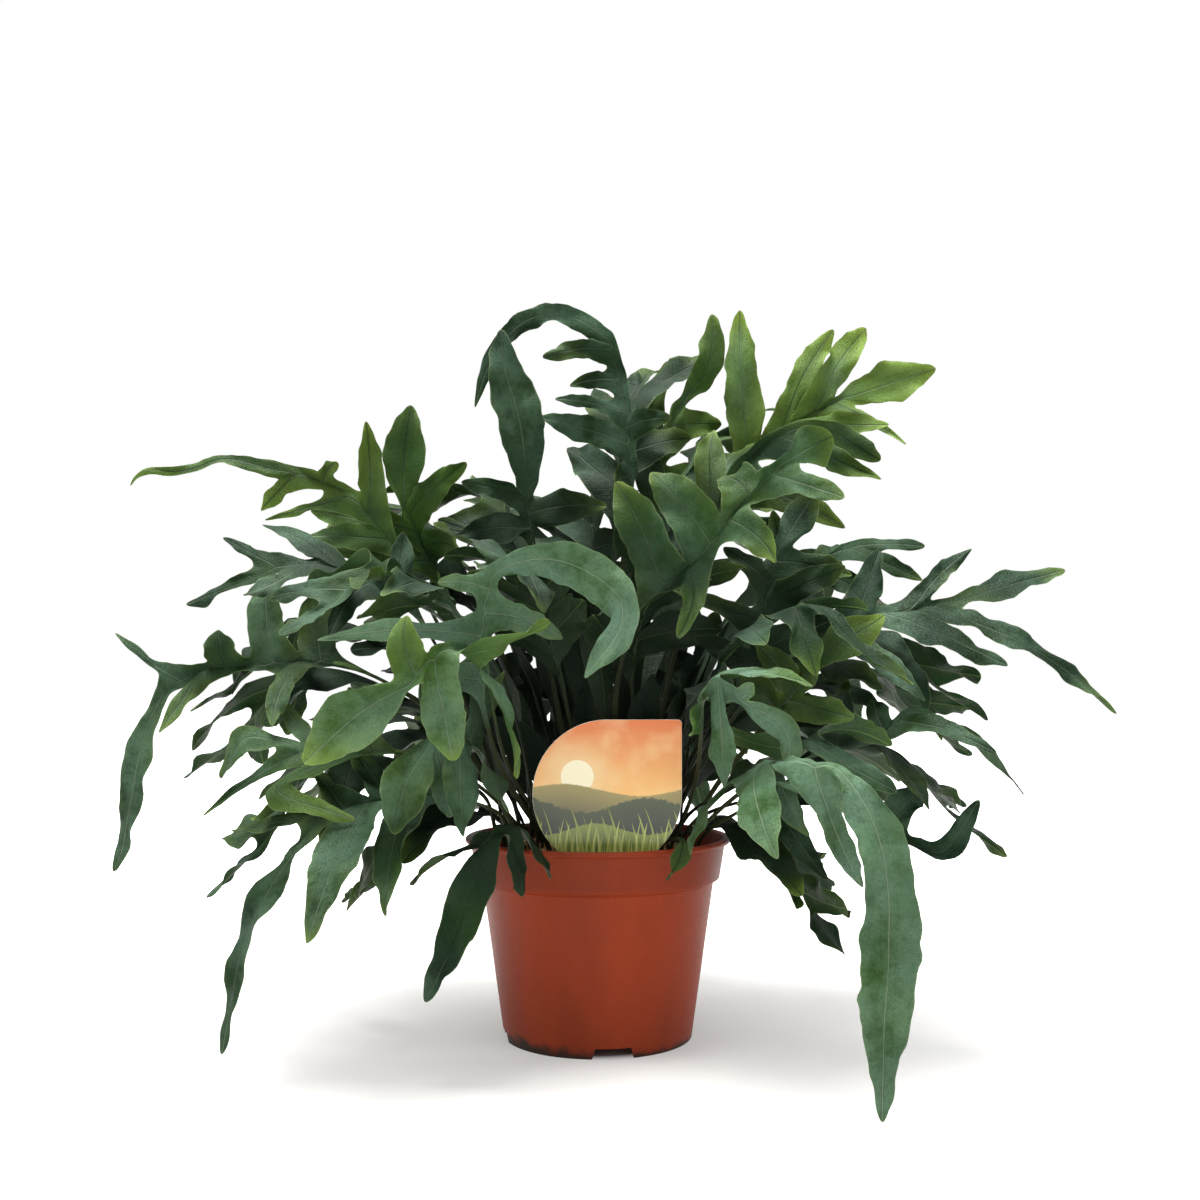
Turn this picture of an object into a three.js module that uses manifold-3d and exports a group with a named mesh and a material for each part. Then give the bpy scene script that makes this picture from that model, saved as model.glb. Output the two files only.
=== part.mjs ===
// Potted blue star fern: lobed fronds on thin stalks grow from a creeping rhizome, half sunk in the
// soil of a terracotta-coloured plastic pot, with a plain card on a stake. Millimetres, +Z up, the
// origin at the middle of the pot's base, and -Y towards the side that the plant is seen from.
import * as THREE from 'three';
import { mergeVertices } from 'three/addons/utils/BufferGeometryUtils.js';
import Module from 'manifold-3d';

const wasm = await Module();
wasm.setup();

// Pot
const potHeight = 126;
const rimRadius = 85;
const collarTopRadius = 81.5;
const collarFootRadius = 78;
const collarFootHeight = 101;
const bodyTopRadius = 74;
const footRadius = 60;
const potWall = 1.6;
const floorHeight = 7;
const footRingWidth = 2.5;
const footPadRadius = 15;
const potSides = 30;
const notchWidth = 26;
const notchHeight = 6.5;
const notchTurn = 9;
const drainRadius = 4;
const drainCircle = 36;
const drainCount = 6;

// Soil
const soilHeight = 112;
const soilCrown = 1.5;
const soilSides = 20;
const soilRipple = 0.8;
const seatGap = 0.4;

// Rhizome
const rhizomeRadius = 6.5;
const rhizomeSides = 6;
const budSpacing = 6;
const budRise = 4;

// Card on its stake
const cardRadius = 45;
const cardCentre = [5.5, 157];
const cardDepth = -58;
const cardThickness = 0.8;
const stakeHalfWidth = 9;
const stakeFootHalfWidth = 3;
const stakePoint = 10;
const stakeFoot = 52;

// Fronds: half thicknesses of lobe rib, rachis and stalk, and half widths of stalk and rachis wing
const ribHalf = 0.7;
const rachisHalf = 0.95;
const stalkHalf = 1.1;
const stalkHalfWidth = 1.6;
const wingHalfWidth = 5.5;
const wingStartShare = 0.4;
const edgeWave = 0.2;
const chosenBreadth = 1.32;
const depthSwing = 20;
const socketDepth = 6;
const socketHeight = 14;
const socketMargin = 0.45;
const stalkSegments = 3;
const endLobeStep = 22;
const lobeStep = 19;
const wavePeriod = 8;

// Fill fronds: those that arch higher than steepArch stand upright and turn their face outwards
const steepArch = 350;
const steepLobes = 6;
const archedLobes = 7;
const fillLobeLengths = [50, 72];
const fillLobeWidths = [22, 30];

// Gaps kept between blades, between parts of one blade, and from the pot's rim and the soil
const clearance = 2.1;
const ownClearance = 1.3;
const rimMargin = 2.2;
const stalkSoilMargin = 2;
const bladeSoilMargin = 5;
const tiny = 1e-7;
const seed = 20;

// Random draws, the same in every run
let randomState = seed;
function random() {
  randomState = (randomState * 1664525 + 1013904223) % 4294967296;
  return randomState / 4294967296;
}
const between = (low, high) => low + (high - low) * random();

const vec = (x, y, z) => new THREE.Vector3(x, y, z);
const up = vec(0, 0, 1);

// Closed geometry to solid and back
function solidFrom(geometry) {
  const loose = geometry.index ? geometry.toNonIndexed() : geometry;
  const bare = new THREE.BufferGeometry();
  bare.setAttribute('position', loose.getAttribute('position'));
  const merged = mergeVertices(bare, 1e-3);
  const corners = merged.index.array;
  const kept = [];
  for (let i = 0; i < corners.length; i += 3) {
    const [a, b, c] = corners.slice(i, i + 3);
    if (a !== b && b !== c && c !== a) kept.push(a, b, c);
  }
  return new wasm.Manifold(
    new wasm.Mesh({
      numProp: 3,
      vertProperties: merged.attributes.position.array,
      triVerts: new Uint32Array(kept),
    }),
  );
}

function geometryFrom(solid) {
  const { vertProperties, triVerts } = solid.getMesh();
  const geometry = new THREE.BufferGeometry();
  geometry.setAttribute('position', new THREE.BufferAttribute(vertProperties, 3));
  geometry.setIndex(new THREE.BufferAttribute(triVerts, 1));
  return geometry;
}

function lathe(profile, sides) {
  const points = profile.map(([r, z]) => new THREE.Vector2(r, z));
  return new THREE.LatheGeometry(points, sides).rotateX(Math.PI / 2);
}

// An upright shape, x across and y up, pushed back from the plane y = front
function uprightExtrude(shape, depth, front, curveSegments = 12) {
  const geometry = new THREE.ExtrudeGeometry(shape, { depth, bevelEnabled: false, curveSegments });
  return geometry.rotateX(Math.PI / 2).translate(0, front + depth, 0);
}

// Pot: a turned shell on a foot ring and a middle pad, with notches at the foot and drain holes
const potInside = (z) => {
  if (z > collarFootHeight) {
    const share = (z - collarFootHeight) / (potHeight - collarFootHeight);
    return collarFootRadius - potWall + share * (collarTopRadius - collarFootRadius);
  }
  return footRadius - potWall + (z / collarFootHeight) * (bodyTopRadius - footRadius);
};

function makePot() {
  const profile = [
    [0, 0],
    [footPadRadius, 0],
    [footPadRadius + 0.4, floorHeight],
    [footRadius - footRingWidth, floorHeight],
    [footRadius - footRingWidth, 0],
    [footRadius, 0],
    [bodyTopRadius, collarFootHeight - 1],
    [collarFootRadius, collarFootHeight],
    [collarTopRadius, potHeight - 4],
    [rimRadius - 0.6, potHeight - 3.2],
    [rimRadius, potHeight - 1.6],
    [rimRadius - 0.8, potHeight],
    [collarTopRadius + 0.4, potHeight],
    [collarTopRadius - potWall, potHeight - 3],
    [collarFootRadius - potWall, collarFootHeight + 0.5],
    [bodyTopRadius - potWall, collarFootHeight - 1.5],
    [footRadius - potWall + 0.8, floorHeight + potWall],
    [0, floorHeight + potWall],
  ];
  let pot = solidFrom(lathe(profile, potSides));
  const notch = new THREE.Shape([
    new THREE.Vector2(-notchWidth / 2 - 0.3, -1),
    new THREE.Vector2(notchWidth / 2 + 0.3, -1),
    new THREE.Vector2(notchWidth / 2 - 2, notchHeight),
    new THREE.Vector2(2 - notchWidth / 2, notchHeight),
  ]);
  for (let quarter = 0; quarter < 4; quarter++) {
    const cutter = uprightExtrude(notch, 12, -footRadius - 4);
    cutter.rotateZ(THREE.MathUtils.degToRad(notchTurn + 90 * quarter));
    pot = pot.subtract(solidFrom(cutter));
  }
  for (let i = 0; i < drainCount; i++) {
    const angle = ((i + 0.5) / drainCount) * 2 * Math.PI;
    const drill = new THREE.CylinderGeometry(drainRadius, drainRadius, 6, 6).rotateX(Math.PI / 2);
    drill.translate(drainCircle * Math.cos(angle), drainCircle * Math.sin(angle), floorHeight + 1);
    pot = pot.subtract(solidFrom(drill));
  }
  return pot;
}

// Soil: fills the pot up to a rippled surface
const ripple = (x, y) =>
  soilRipple * (Math.sin(0.19 * x + 1.3) * Math.cos(0.23 * y) + 0.6 * Math.sin(0.4 * x - 0.33 * y));

function makeSoil() {
  const low = floorHeight + potWall + seatGap;
  const seat = (z) => potInside(z) * 0.995 - seatGap;
  const profile = [
    [0, low],
    [seat(low) - 0.5, low],
    [seat(collarFootHeight - 3) - 0.6, collarFootHeight - 3],
    [seat(collarFootHeight + 4) - 0.6, collarFootHeight + 4],
    [seat(soilHeight), soilHeight - 1],
    [0.7 * seat(soilHeight), soilHeight + 0.4 * soilCrown],
    [0.36 * seat(soilHeight), soilHeight + soilCrown],
    [0, soilHeight + soilCrown],
  ];
  const geometry = lathe(profile, soilSides);
  const position = geometry.getAttribute('position');
  for (let i = 0; i < position.count; i++) {
    const z = position.getZ(i);
    if (z > soilHeight - 0.5) {
      position.setZ(i, z + ripple(position.getX(i), position.getY(i)));
    }
  }
  return solidFrom(geometry);
}

// Rhizome: creeping branches, each a knobbly tube with blunt tapered ends
const rhizomeLevel = soilHeight + 2;
const rhizomeRoutes = [
  [[-64, -16], [-42, -30], [-18, -26], [4, -12], [28, -16], [48, -30], [63, -26]],
  [[-56, 34], [-36, 16], [-12, 14], [10, 24], [34, 20], [58, 34]],
  [[-22, -28], [-32, -44], [-44, -52]],
  [[28, -14], [36, -32], [40, -52]],
  [[4, -12], [0, 6], [-10, 16]],
  [[10, 22], [4, 42], [10, 62]],
  [[47, -28], [54, -38], [53, -48]],
  [[-45, -28], [-54, -36], [-58, -44]],
  [[-35, 17], [-34, 36], [-26, 54]],
];

function rhizomeCurve(route, index) {
  const points = route.map(([x, y], i) => vec(x, y, rhizomeLevel + 1.5 * Math.sin(2.1 * i + index)));
  return new THREE.CatmullRomCurve3(points);
}

function tube(curve, radiusAt, sides, rings) {
  const positions = [];
  const ring = (i) => {
    const share = i / rings;
    const centre = curve.getPointAt(share);
    const ahead = curve.getTangentAt(share);
    const side = up.clone().cross(ahead).normalize();
    const top = ahead.clone().cross(side);
    const radius = radiusAt(share, i);
    return Array.from({ length: sides }, (_, j) => {
      const angle = (j / sides) * 2 * Math.PI;
      const out = side.clone().multiplyScalar(Math.cos(angle) * radius);
      return centre.clone().add(out).addScaledVector(top, Math.sin(angle) * radius);
    });
  };
  const add = (...corners) => corners.forEach((p) => positions.push(p.x, p.y, p.z));
  let last = ring(0);
  for (let j = 1; j < sides - 1; j++) add(last[0], last[j], last[j + 1]);
  for (let i = 1; i <= rings; i++) {
    const next = ring(i);
    for (let j = 0; j < sides; j++) {
      const k = (j + 1) % sides;
      add(last[j], next[j], next[k]);
      add(last[j], next[k], last[k]);
    }
    last = next;
  }
  for (let j = 1; j < sides - 1; j++) add(last[0], last[j + 1], last[j]);
  const geometry = new THREE.BufferGeometry();
  geometry.setAttribute('position', new THREE.Float32BufferAttribute(positions, 3));
  const solid = solidFrom(geometry);
  return solid.volume() > 0 ? solid : solidFrom(flipped(geometry));
}

function flipped(geometry) {
  const position = geometry.getAttribute('position');
  const turned = [];
  for (let i = 0; i < position.count; i += 3) {
    for (const j of [i, i + 2, i + 1]) {
      turned.push(position.getX(j), position.getY(j), position.getZ(j));
    }
  }
  const geometryTurned = new THREE.BufferGeometry();
  geometryTurned.setAttribute('position', new THREE.Float32BufferAttribute(turned, 3));
  return geometryTurned;
}

function makeRhizome(grow) {
  let whole = null;
  rhizomeRoutes.forEach((route, index) => {
    const rings = Math.round(1.4 * (route.length - 1));
    const radiusAt = (share, i) => {
      const taper = Math.min(1, 0.55 + 3 * Math.min(share, 1 - share));
      return rhizomeRadius * taper * (i % 2 ? 1.08 : 0.93) + grow;
    };
    const branch = tube(rhizomeCurve(route, index), radiusAt, rhizomeSides, rings);
    whole = whole ? whole.add(branch) : branch;
  });
  return whole;
}

// Buds on top of the rhizome, where stalks stand
const buds = [];
rhizomeRoutes.forEach((route, index) => {
  const curve = rhizomeCurve(route, index);
  const count = Math.floor(curve.getLength() / budSpacing);
  for (let i = 0; i <= count; i++) {
    const point = curve.getPointAt(i / count).addScaledVector(up, budRise);
    if (buds.every((bud) => bud.distanceTo(point) > budSpacing - 0.8)) buds.push(point);
  }
});

// The free buds nearest to a place, seen from above
const budChoice = 18;
const nearestBuds = ([x, y]) => {
  const away = (bud) => Math.hypot(bud.x - x, bud.y - y);
  return [...buds].sort((a, b) => away(a) - away(b)).slice(0, budChoice);
};

// Card: round, with one square corner, on a tapering stake with a pointed foot
function cardShape(grow) {
  const [cx, cz] = cardCentre;
  const r = cardRadius + grow;
  const neck = Math.asin((stakeHalfWidth + grow) / r);
  const footHalf = stakeFootHalfWidth + grow;
  const shape = new THREE.Shape();
  shape.moveTo(cx + r, cz + r);
  shape.lineTo(cx, cz + r);
  shape.absarc(cx, cz, r, Math.PI / 2, 1.5 * Math.PI - neck, false);
  shape.lineTo(cx - footHalf, stakeFoot + stakePoint);
  shape.lineTo(cx, stakeFoot - 2 * grow);
  shape.lineTo(cx + footHalf, stakeFoot + stakePoint);
  shape.absarc(cx, cz, r, 1.5 * Math.PI + neck, 2 * Math.PI, false);
  return shape;
}

const makeCard = (grow) =>
  solidFrom(uprightExtrude(cardShape(grow), cardThickness + 2 * grow, cardDepth - grow, 6));

// Clearance: triangles of finished blades, sorted into cells
const cellSize = 16;
const cells = new Map();
let triangleCount = 0;

function cellKeys(triangle, margin) {
  const box = new THREE.Box3().setFromPoints(triangle.corners).expandByScalar(margin);
  const low = box.min.clone().divideScalar(cellSize).floor();
  const high = box.max.clone().divideScalar(cellSize).floor();
  const keys = [];
  for (let x = low.x; x <= high.x; x++) {
    for (let y = low.y; y <= high.y; y++) {
      for (let z = low.z; z <= high.z; z++) {
        keys.push(((x + 500) * 1000 + y + 500) * 1000 + z + 500);
      }
    }
  }
  return keys;
}

// Gives a triangle its bounding sphere
function measure(triangle) {
  triangle.centre = new THREE.Vector3();
  triangle.corners.forEach((corner) => triangle.centre.addScaledVector(corner, 1 / 3));
  triangle.radius = Math.max(...triangle.corners.map((p) => p.distanceTo(triangle.centre)));
}

function remember(triangle) {
  triangle.id = triangleCount++;
  measure(triangle);
  for (const key of cellKeys(triangle, 0)) {
    if (!cells.has(key)) cells.set(key, []);
    cells.get(key).push(triangle);
  }
}

// Squared distance between segments p1-q1 and p2-q2
const clamp01 = (value) => Math.min(1, Math.max(0, value));
const span = vec(0, 0, 0);
const otherSpan = vec(0, 0, 0);
const offset = vec(0, 0, 0);

function segmentGap(p1, q1, p2, q2) {
  span.subVectors(q1, p1);
  otherSpan.subVectors(q2, p2);
  offset.subVectors(p1, p2);
  const a = span.lengthSq();
  const b = span.dot(otherSpan);
  const c = span.dot(offset);
  const e = otherSpan.lengthSq();
  const f = otherSpan.dot(offset);
  const spread = a * e - b * b;
  let s = spread > tiny ? clamp01((b * f - c * e) / spread) : 0;
  let t = (b * s + f) / e;
  if (t < 0) {
    t = 0;
    s = clamp01(-c / a);
  } else if (t > 1) {
    t = 1;
    s = clamp01((b - c) / a);
  }
  return offset.addScaledVector(span, s).addScaledVector(otherSpan, -t).lengthSq();
}

const scratchTriangle = new THREE.Triangle();
const closest = vec(0, 0, 0);

function pointGap(point, corners) {
  scratchTriangle.set(...corners).closestPointToPoint(point, closest);
  return closest.distanceToSquared(point);
}

const across = vec(0, 0, 0);
const segment = vec(0, 0, 0);

// Whether the edge p-q passes through a triangle, not counting touches at corners and margins
function pierces(p, q, [a, b, c]) {
  span.subVectors(b, a);
  otherSpan.subVectors(c, a);
  segment.subVectors(q, p);
  across.crossVectors(segment, otherSpan);
  const spread = span.dot(across);
  if (Math.abs(spread) < tiny) return false;
  offset.subVectors(p, a);
  const u = offset.dot(across) / spread;
  if (u < tiny || u > 1 - tiny) return false;
  across.crossVectors(offset, span);
  const v = segment.dot(across) / spread;
  if (v < tiny || u + v > 1 - tiny) return false;
  const along = otherSpan.dot(across) / spread;
  return along > tiny && along < 1 - tiny;
}

function trianglesCross(a, b) {
  if (a.centre.distanceTo(b.centre) > a.radius + b.radius) return false;
  return [0, 1, 2].some((i) => {
    const next = (i + 1) % 3;
    return (
      pierces(a.corners[i], a.corners[next], b.corners) ||
      pierces(b.corners[i], b.corners[next], a.corners)
    );
  });
}

// Whether the two sides of a blade run through each other anywhere
function crossesItself(geometry) {
  const position = geometry.getAttribute('position');
  const index = geometry.getIndex().array;
  const triangles = [];
  for (let i = 0; i < index.length; i += 3) {
    const corners = [0, 1, 2].map((k) => vec(0, 0, 0).fromBufferAttribute(position, index[i + k]));
    const triangle = { corners };
    measure(triangle);
    triangles.push(triangle);
  }
  return triangles.some((one, i) => triangles.slice(i + 1).some((other) => trianglesCross(one, other)));
}

function trianglesClose(a, b, limit) {
  if (a.centre.distanceTo(b.centre) > a.radius + b.radius + limit) return false;
  const square = limit * limit;
  for (let i = 0; i < 3; i++) {
    const p = a.corners[i];
    const q = a.corners[(i + 1) % 3];
    if (pierces(p, q, b.corners) || pointGap(p, b.corners) < square) return true;
    if (pierces(b.corners[i], b.corners[(i + 1) % 3], a.corners)) return true;
    if (pointGap(b.corners[i], a.corners) < square) return true;
    for (let j = 0; j < 3; j++) {
      if (segmentGap(p, q, b.corners[j], b.corners[(j + 1) % 3]) < square) return true;
    }
  }
  return false;
}

// The pot, the ground and the soil as simple limits on a blade's triangles
function potOutside(z) {
  if (z > potHeight - 6) return rimRadius;
  if (z > collarFootHeight - 3) return collarTopRadius;
  return footRadius + (z / collarFootHeight) * (bodyTopRadius - footRadius) + 1;
}

function insidePot(point, soilMargin) {
  const r = Math.hypot(point.x, point.y);
  if (point.z < rimMargin) return true;
  if (point.z > potHeight + rimMargin) return false;
  if (r > potOutside(point.z) + rimMargin) return false;
  if (point.z < soilHeight + soilMargin) return true;
  return r > potInside(Math.max(point.z, soilHeight)) - rimMargin - 1;
}

function blocked(triangle) {
  const steps = 4;
  const soilMargin = triangle.station < 0 ? stalkSoilMargin : bladeSoilMargin;
  const [a, b, c] = triangle.corners;
  for (let i = 0; i <= steps; i++) {
    for (let j = 0; j <= steps - i; j++) {
      const point = a.clone().multiplyScalar(i / steps).addScaledVector(b, j / steps);
      point.addScaledVector(c, (steps - i - j) / steps);
      if (insidePot(point, soilMargin)) return true;
    }
  }
  return false;
}

// Whether a set of triangles stays clear of everything that has been placed
function isClear(triangles) {
  for (const triangle of triangles) {
    measure(triangle);
    if (!triangle.foot && blocked(triangle)) return false;
    const seen = new Set();
    for (const key of cellKeys(triangle, clearance)) {
      for (const other of cells.get(key) || []) {
        if (seen.has(other.id)) continue;
        seen.add(other.id);
        if (triangle.foot && other.frond === 'rhizome') continue;
        const own = other.frond === triangle.frond;
        if (own && (triangle.base || other.base)) continue;
        if (own && Math.abs(other.station - triangle.station) < 2) continue;
        if (trianglesClose(triangle, other, own ? ownClearance : clearance)) return false;
      }
    }
  }
  return true;
}

// A station of a blade: its place on the rib, the way ahead, the upper side and the left side
function stationsAlong(points, tangents, start, face) {
  const stations = points.map((p, i) => ({ p, ahead: tangents[i] }));
  const settle = (station, like) => {
    station.top = like.clone().addScaledVector(station.ahead, -like.dot(station.ahead)).normalize();
    station.left = station.top.clone().cross(station.ahead);
  };
  settle(stations[start], face);
  for (let i = start + 1; i < stations.length; i++) settle(stations[i], stations[i - 1].top);
  for (let i = start - 1; i >= 0; i--) settle(stations[i], stations[i + 1].top);
  return stations;
}

// Half width of a lobe along its length, as a share of its greatest half width: it starts at 0.6,
// widens fast and tapers to the tip
const lobeOutline = (share) => Math.min(1, 0.6 + 1.13 * share) * (1 - (0.98 * share) ** 3.4);

// Places of stations along a lobe, closer together towards its rounded tip
const lobeShares = (count) =>
  Array.from({ length: count + 1 }, (_, i) => 1 - (1 - i / count) ** 1.4);

// A frond's blade: rib points have thickness, and edge points close it to a fine margin. Each face
// is put on both sides of the blade, so that the two sides never cross.
class Sheet {
  constructor() {
    this.points = [];
    this.faces = [];
  }
  rib(station, half) {
    return this.points.push({ p: station.p, top: station.top, half }) - 1;
  }
  edge(p) {
    return this.points.push({ p, half: 0 }) - 1;
  }
  triangle(a, b, c) {
    this.faces.push([a, b, c]);
  }
  quad(a, b, c, d) {
    this.faces.push([a, b, c], [a, c, d]);
  }
  geometry() {
    const positions = [];
    const upper = [];
    const lower = [];
    const put = (p) => positions.push(p.x, p.y, p.z) / 3 - 1;
    for (const { p, top, half } of this.points) {
      if (half === 0) {
        upper.push(put(p));
        lower.push(upper.at(-1));
      } else {
        upper.push(put(p.clone().addScaledVector(top, half)));
        lower.push(put(p.clone().addScaledVector(top, -half)));
      }
    }
    const index = [];
    for (const [a, b, c] of this.faces) {
      index.push(upper[a], upper[b], upper[c]);
      index.push(lower[a], lower[c], lower[b]);
    }
    const geometry = new THREE.BufferGeometry();
    geometry.setAttribute('position', new THREE.Float32BufferAttribute(positions, 3));
    geometry.setIndex(index);
    return geometry;
  }
}

// The margin's two points at a station, both raised by curl and apart in height by the wave
function setEdges(station, curl, wave) {
  const { p, left, top, width } = station;
  station.leftEdge = p.clone().addScaledVector(left, width).addScaledVector(top, curl + wave);
  station.rightEdge = p.clone().addScaledVector(left, -width).addScaledVector(top, curl - wave);
}

// The stalk, rachis and end lobe of a frond, as stations with half widths
function makeSpine(spec, bud, shift) {
  const route = [bud.clone().addScaledVector(up, -socketDepth), bud.clone().addScaledVector(up, 8)];
  const last = spec.path.length - 1;
  spec.path.forEach(([x, y, z], i) => {
    const share = Math.min(1, (i + 1) / Math.max(1, last));
    route.push(vec(x, y, z).addScaledVector(shift, share));
  });
  const curve = new THREE.CatmullRomCurve3(route, false, 'centripetal');
  curve.arcLengthDivisions = 300;
  const lengths = curve.getLengths();
  const lengthAt = (pathIndex) => {
    const at = (pathIndex + 2) / (route.length - 1);
    return lengths[Math.round(at * curve.arcLengthDivisions)];
  };
  const total = curve.getLength();
  const bladeStart = lengthAt(spec.blade[0]);
  const crown = lengthAt(spec.blade[1]);
  const marks = [0, 2 * socketDepth];
  for (let i = 1; i < stalkSegments; i++) {
    marks.push(marks[1] + ((bladeStart - marks[1]) * i) / stalkSegments);
  }
  const firstBlade = marks.length;
  for (let i = 0; i <= spec.bladeSteps; i++) {
    marks.push(bladeStart + ((crown - bladeStart) * i) / spec.bladeSteps);
  }
  const endCount = Math.max(3, Math.round((total - crown) / endLobeStep));
  const endShares = lobeShares(endCount).slice(1);
  endShares.forEach((share) => marks.push(crown + (total - crown) * share));
  const points = marks.map((mark) => curve.getPointAt(Math.min(1, mark / total)));
  const tangents = marks.map((mark) => curve.getTangentAt(Math.min(1, mark / total)));
  const stations = stationsAlong(points, tangents, firstBlade, vec(...spec.face));
  stations.forEach((station, i) => {
    const onBlade = i - firstBlade;
    if (onBlade < 0) {
      station.half = stalkHalf;
      station.width = stalkHalfWidth;
    } else if (onBlade <= spec.bladeSteps) {
      station.half = rachisHalf;
      station.width = wingHalfWidth * (onBlade === 0 ? wingStartShare : 1);
    } else {
      const share = endShares[onBlade - spec.bladeSteps - 1];
      station.half = ribHalf;
      station.width = (spec.width / 2) * lobeOutline(share) * spec.waves[onBlade % wavePeriod];
    }
    const curl = onBlade > 0 ? spec.curl * station.width : 0;
    const wave = onBlade > spec.bladeSteps ? (i % 2 ? 1 : -1) * edgeWave * station.width : 0;
    setEdges(station, curl, wave);
  });
  return { stations, firstBlade };
}

function spineTriangles(spine, frond) {
  const triangles = [];
  const { stations, firstBlade } = spine;
  for (let i = 0; i < stations.length - 1; i++) {
    const a = stations[i];
    const b = stations[i + 1];
    const tag = { frond, station: i - firstBlade, foot: i < 1, base: false };
    const quad = (p, q, r, s) => {
      triangles.push({ ...tag, corners: [p, q, r] }, { ...tag, corners: [p, r, s] });
    };
    quad(a.p, b.p, b.leftEdge, a.leftEdge);
    quad(a.p, a.rightEdge, b.rightEdge, b.p);
  }
  return triangles;
}

// A lobe: a curved blade from the rib at one station to its tip
function makeLobe(spine, lobe, shift, scale, neck) {
  const from = spine.stations[spine.firstBlade + lobe.station];
  const tip = vec(lobe.tip.x, lobe.tip.y, lobe.tip.z).add(shift);
  tip.lerp(from.p, 1 - scale);
  const straight = tip.clone().sub(from.p);
  const reach = straight.length();
  const natural = from.left.clone().multiplyScalar(lobe.side).addScaledVector(from.ahead, 0.7);
  const bend = natural.normalize().multiplyScalar(0.6).add(straight.clone().divideScalar(reach));
  const middle = lobe.via
    ? lobe.via.clone().addScaledVector(shift, 0.5)
    : from.p.clone().addScaledVector(bend.normalize(), 0.5 * reach);
  middle.addScaledVector(from.top, lobe.arch * reach);
  const curve = lobe.via
    ? new THREE.CatmullRomCurve3([from.p, middle, tip], false, 'centripetal')
    : new THREE.QuadraticBezierCurve3(from.p, middle, tip);
  const count = Math.max(4, Math.min(8, Math.round(curve.getLength() / lobeStep)));
  const shares = lobeShares(count);
  const points = shares.map((share) => curve.getPointAt(share));
  points[0] = from.p;
  const tangents = shares.map((share) => curve.getTangentAt(share));
  const stations = stationsAlong(points, tangents, 0, from.top);
  stations.forEach((at, i) => {
    const share = shares[i];
    at.half = ribHalf;
    at.width = (lobe.width / 2) * lobeOutline(share) * lobe.waves[i % wavePeriod];
    if (i === 1) at.width *= neck;
    const wave = (i % 2 ? 1 : -1) * edgeWave * at.width * lobe.phase;
    setEdges(at, lobe.curl * at.width, wave);
  });
  return { stations, station: lobe.station, side: lobe.side };
}

// The two points of the rachis wing that a lobe grows between, left and right as seen along it
function lobeCorners(spine, station, side) {
  const at = (i) => spine.stations[spine.firstBlade + i];
  const edge = side > 0 ? 'leftEdge' : 'rightEdge';
  const near = at(station - 1)[edge];
  const far = at(station + 1)[edge];
  return side > 0 ? [near, far] : [far, near];
}

function lobeTriangles(spine, made, frond) {
  const [leftCorner, rightCorner] = lobeCorners(spine, made.station, made.side);
  const triangles = [];
  const { stations } = made;
  for (let i = 0; i < stations.length - 1; i++) {
    const a = stations[i];
    const b = stations[i + 1];
    const tag = { frond, station: made.station, foot: false, base: i < 1 };
    const quad = (p, q, r, s) => {
      triangles.push({ ...tag, corners: [p, q, r] }, { ...tag, corners: [p, r, s] });
    };
    quad(a.p, b.p, b.leftEdge, i ? a.leftEdge : leftCorner);
    quad(a.p, i ? a.rightEdge : rightCorner, b.rightEdge, b.p);
  }
  return triangles;
}

// Shifts to try, from none to large, in a fixed set of directions
function shiftsAlong(directions, sizes) {
  const shifts = [vec(0, 0, 0)];
  for (const size of sizes) {
    for (const direction of directions) shifts.push(direction.clone().multiplyScalar(size));
  }
  return shifts;
}

const spineDirections = [
  vec(0, 1, 0),
  vec(0, -1, 0),
  vec(0.7, 0.5, 0.3),
  vec(-0.7, 0.5, 0.3),
  vec(0.8, -0.5, -0.2),
  vec(-0.8, -0.5, -0.2),
  vec(0, 0.3, 1),
  vec(0, 0.3, -1),
  vec(1, 0, 0),
  vec(-1, 0, 0),
  vec(0, -0.6, 0.6),
  vec(0.5, 0.5, -0.6),
  vec(-0.5, 0.5, -0.6),
];

function placeSpine(spec, frond) {
  const shifts = shiftsAlong(spineDirections, spec.shiftSizes);
  const choices = nearestBuds(spec.root);
  for (const shift of shifts) {
    for (const bud of choices) {
      const spine = makeSpine(spec, bud, shift);
      const triangles = spineTriangles(spine, frond);
      if (isClear(triangles) && !crossesItself(sheetOf(spine, []).geometry())) {
        triangles.forEach(remember);
        buds.splice(buds.indexOf(bud), 1);
        return spine;
      }
    }
  }
  return null;
}

// Shares of a lobe's length and of its width at the neck to try
const lobeTrials = [
  [1, 1],
  [1, 0.6],
  [0.85, 1],
  [0.85, 0.6],
  [0.7, 0.8],
  [0.7, 0.5],
  [0.55, 0.6],
];

function placeLobe(spine, lobe, placed, frond) {
  const from = spine.stations[spine.firstBlade + lobe.station];
  const directions = [
    from.top,
    from.top.clone().negate(),
    from.ahead,
    from.ahead.clone().negate(),
    from.top.clone().add(from.ahead).normalize(),
    from.ahead.clone().sub(from.top).normalize(),
    vec(0, 0.5, -0.85),
    vec(0, -0.5, -0.85),
  ];
  for (const [scale, neck] of lobeTrials) {
    for (const shift of shiftsAlong(directions, [6, 12, 19, 27, 36])) {
      const made = makeLobe(spine, lobe, shift, scale, neck);
      const triangles = lobeTriangles(spine, made, frond);
      if (isClear(triangles) && !crossesItself(sheetOf(spine, [...placed, made]).geometry())) {
        triangles.forEach(remember);
        return made;
      }
    }
  }
  return null;
}

const wavesOf = () => Array.from({ length: wavePeriod }, () => between(0.84, 1.12));

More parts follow.
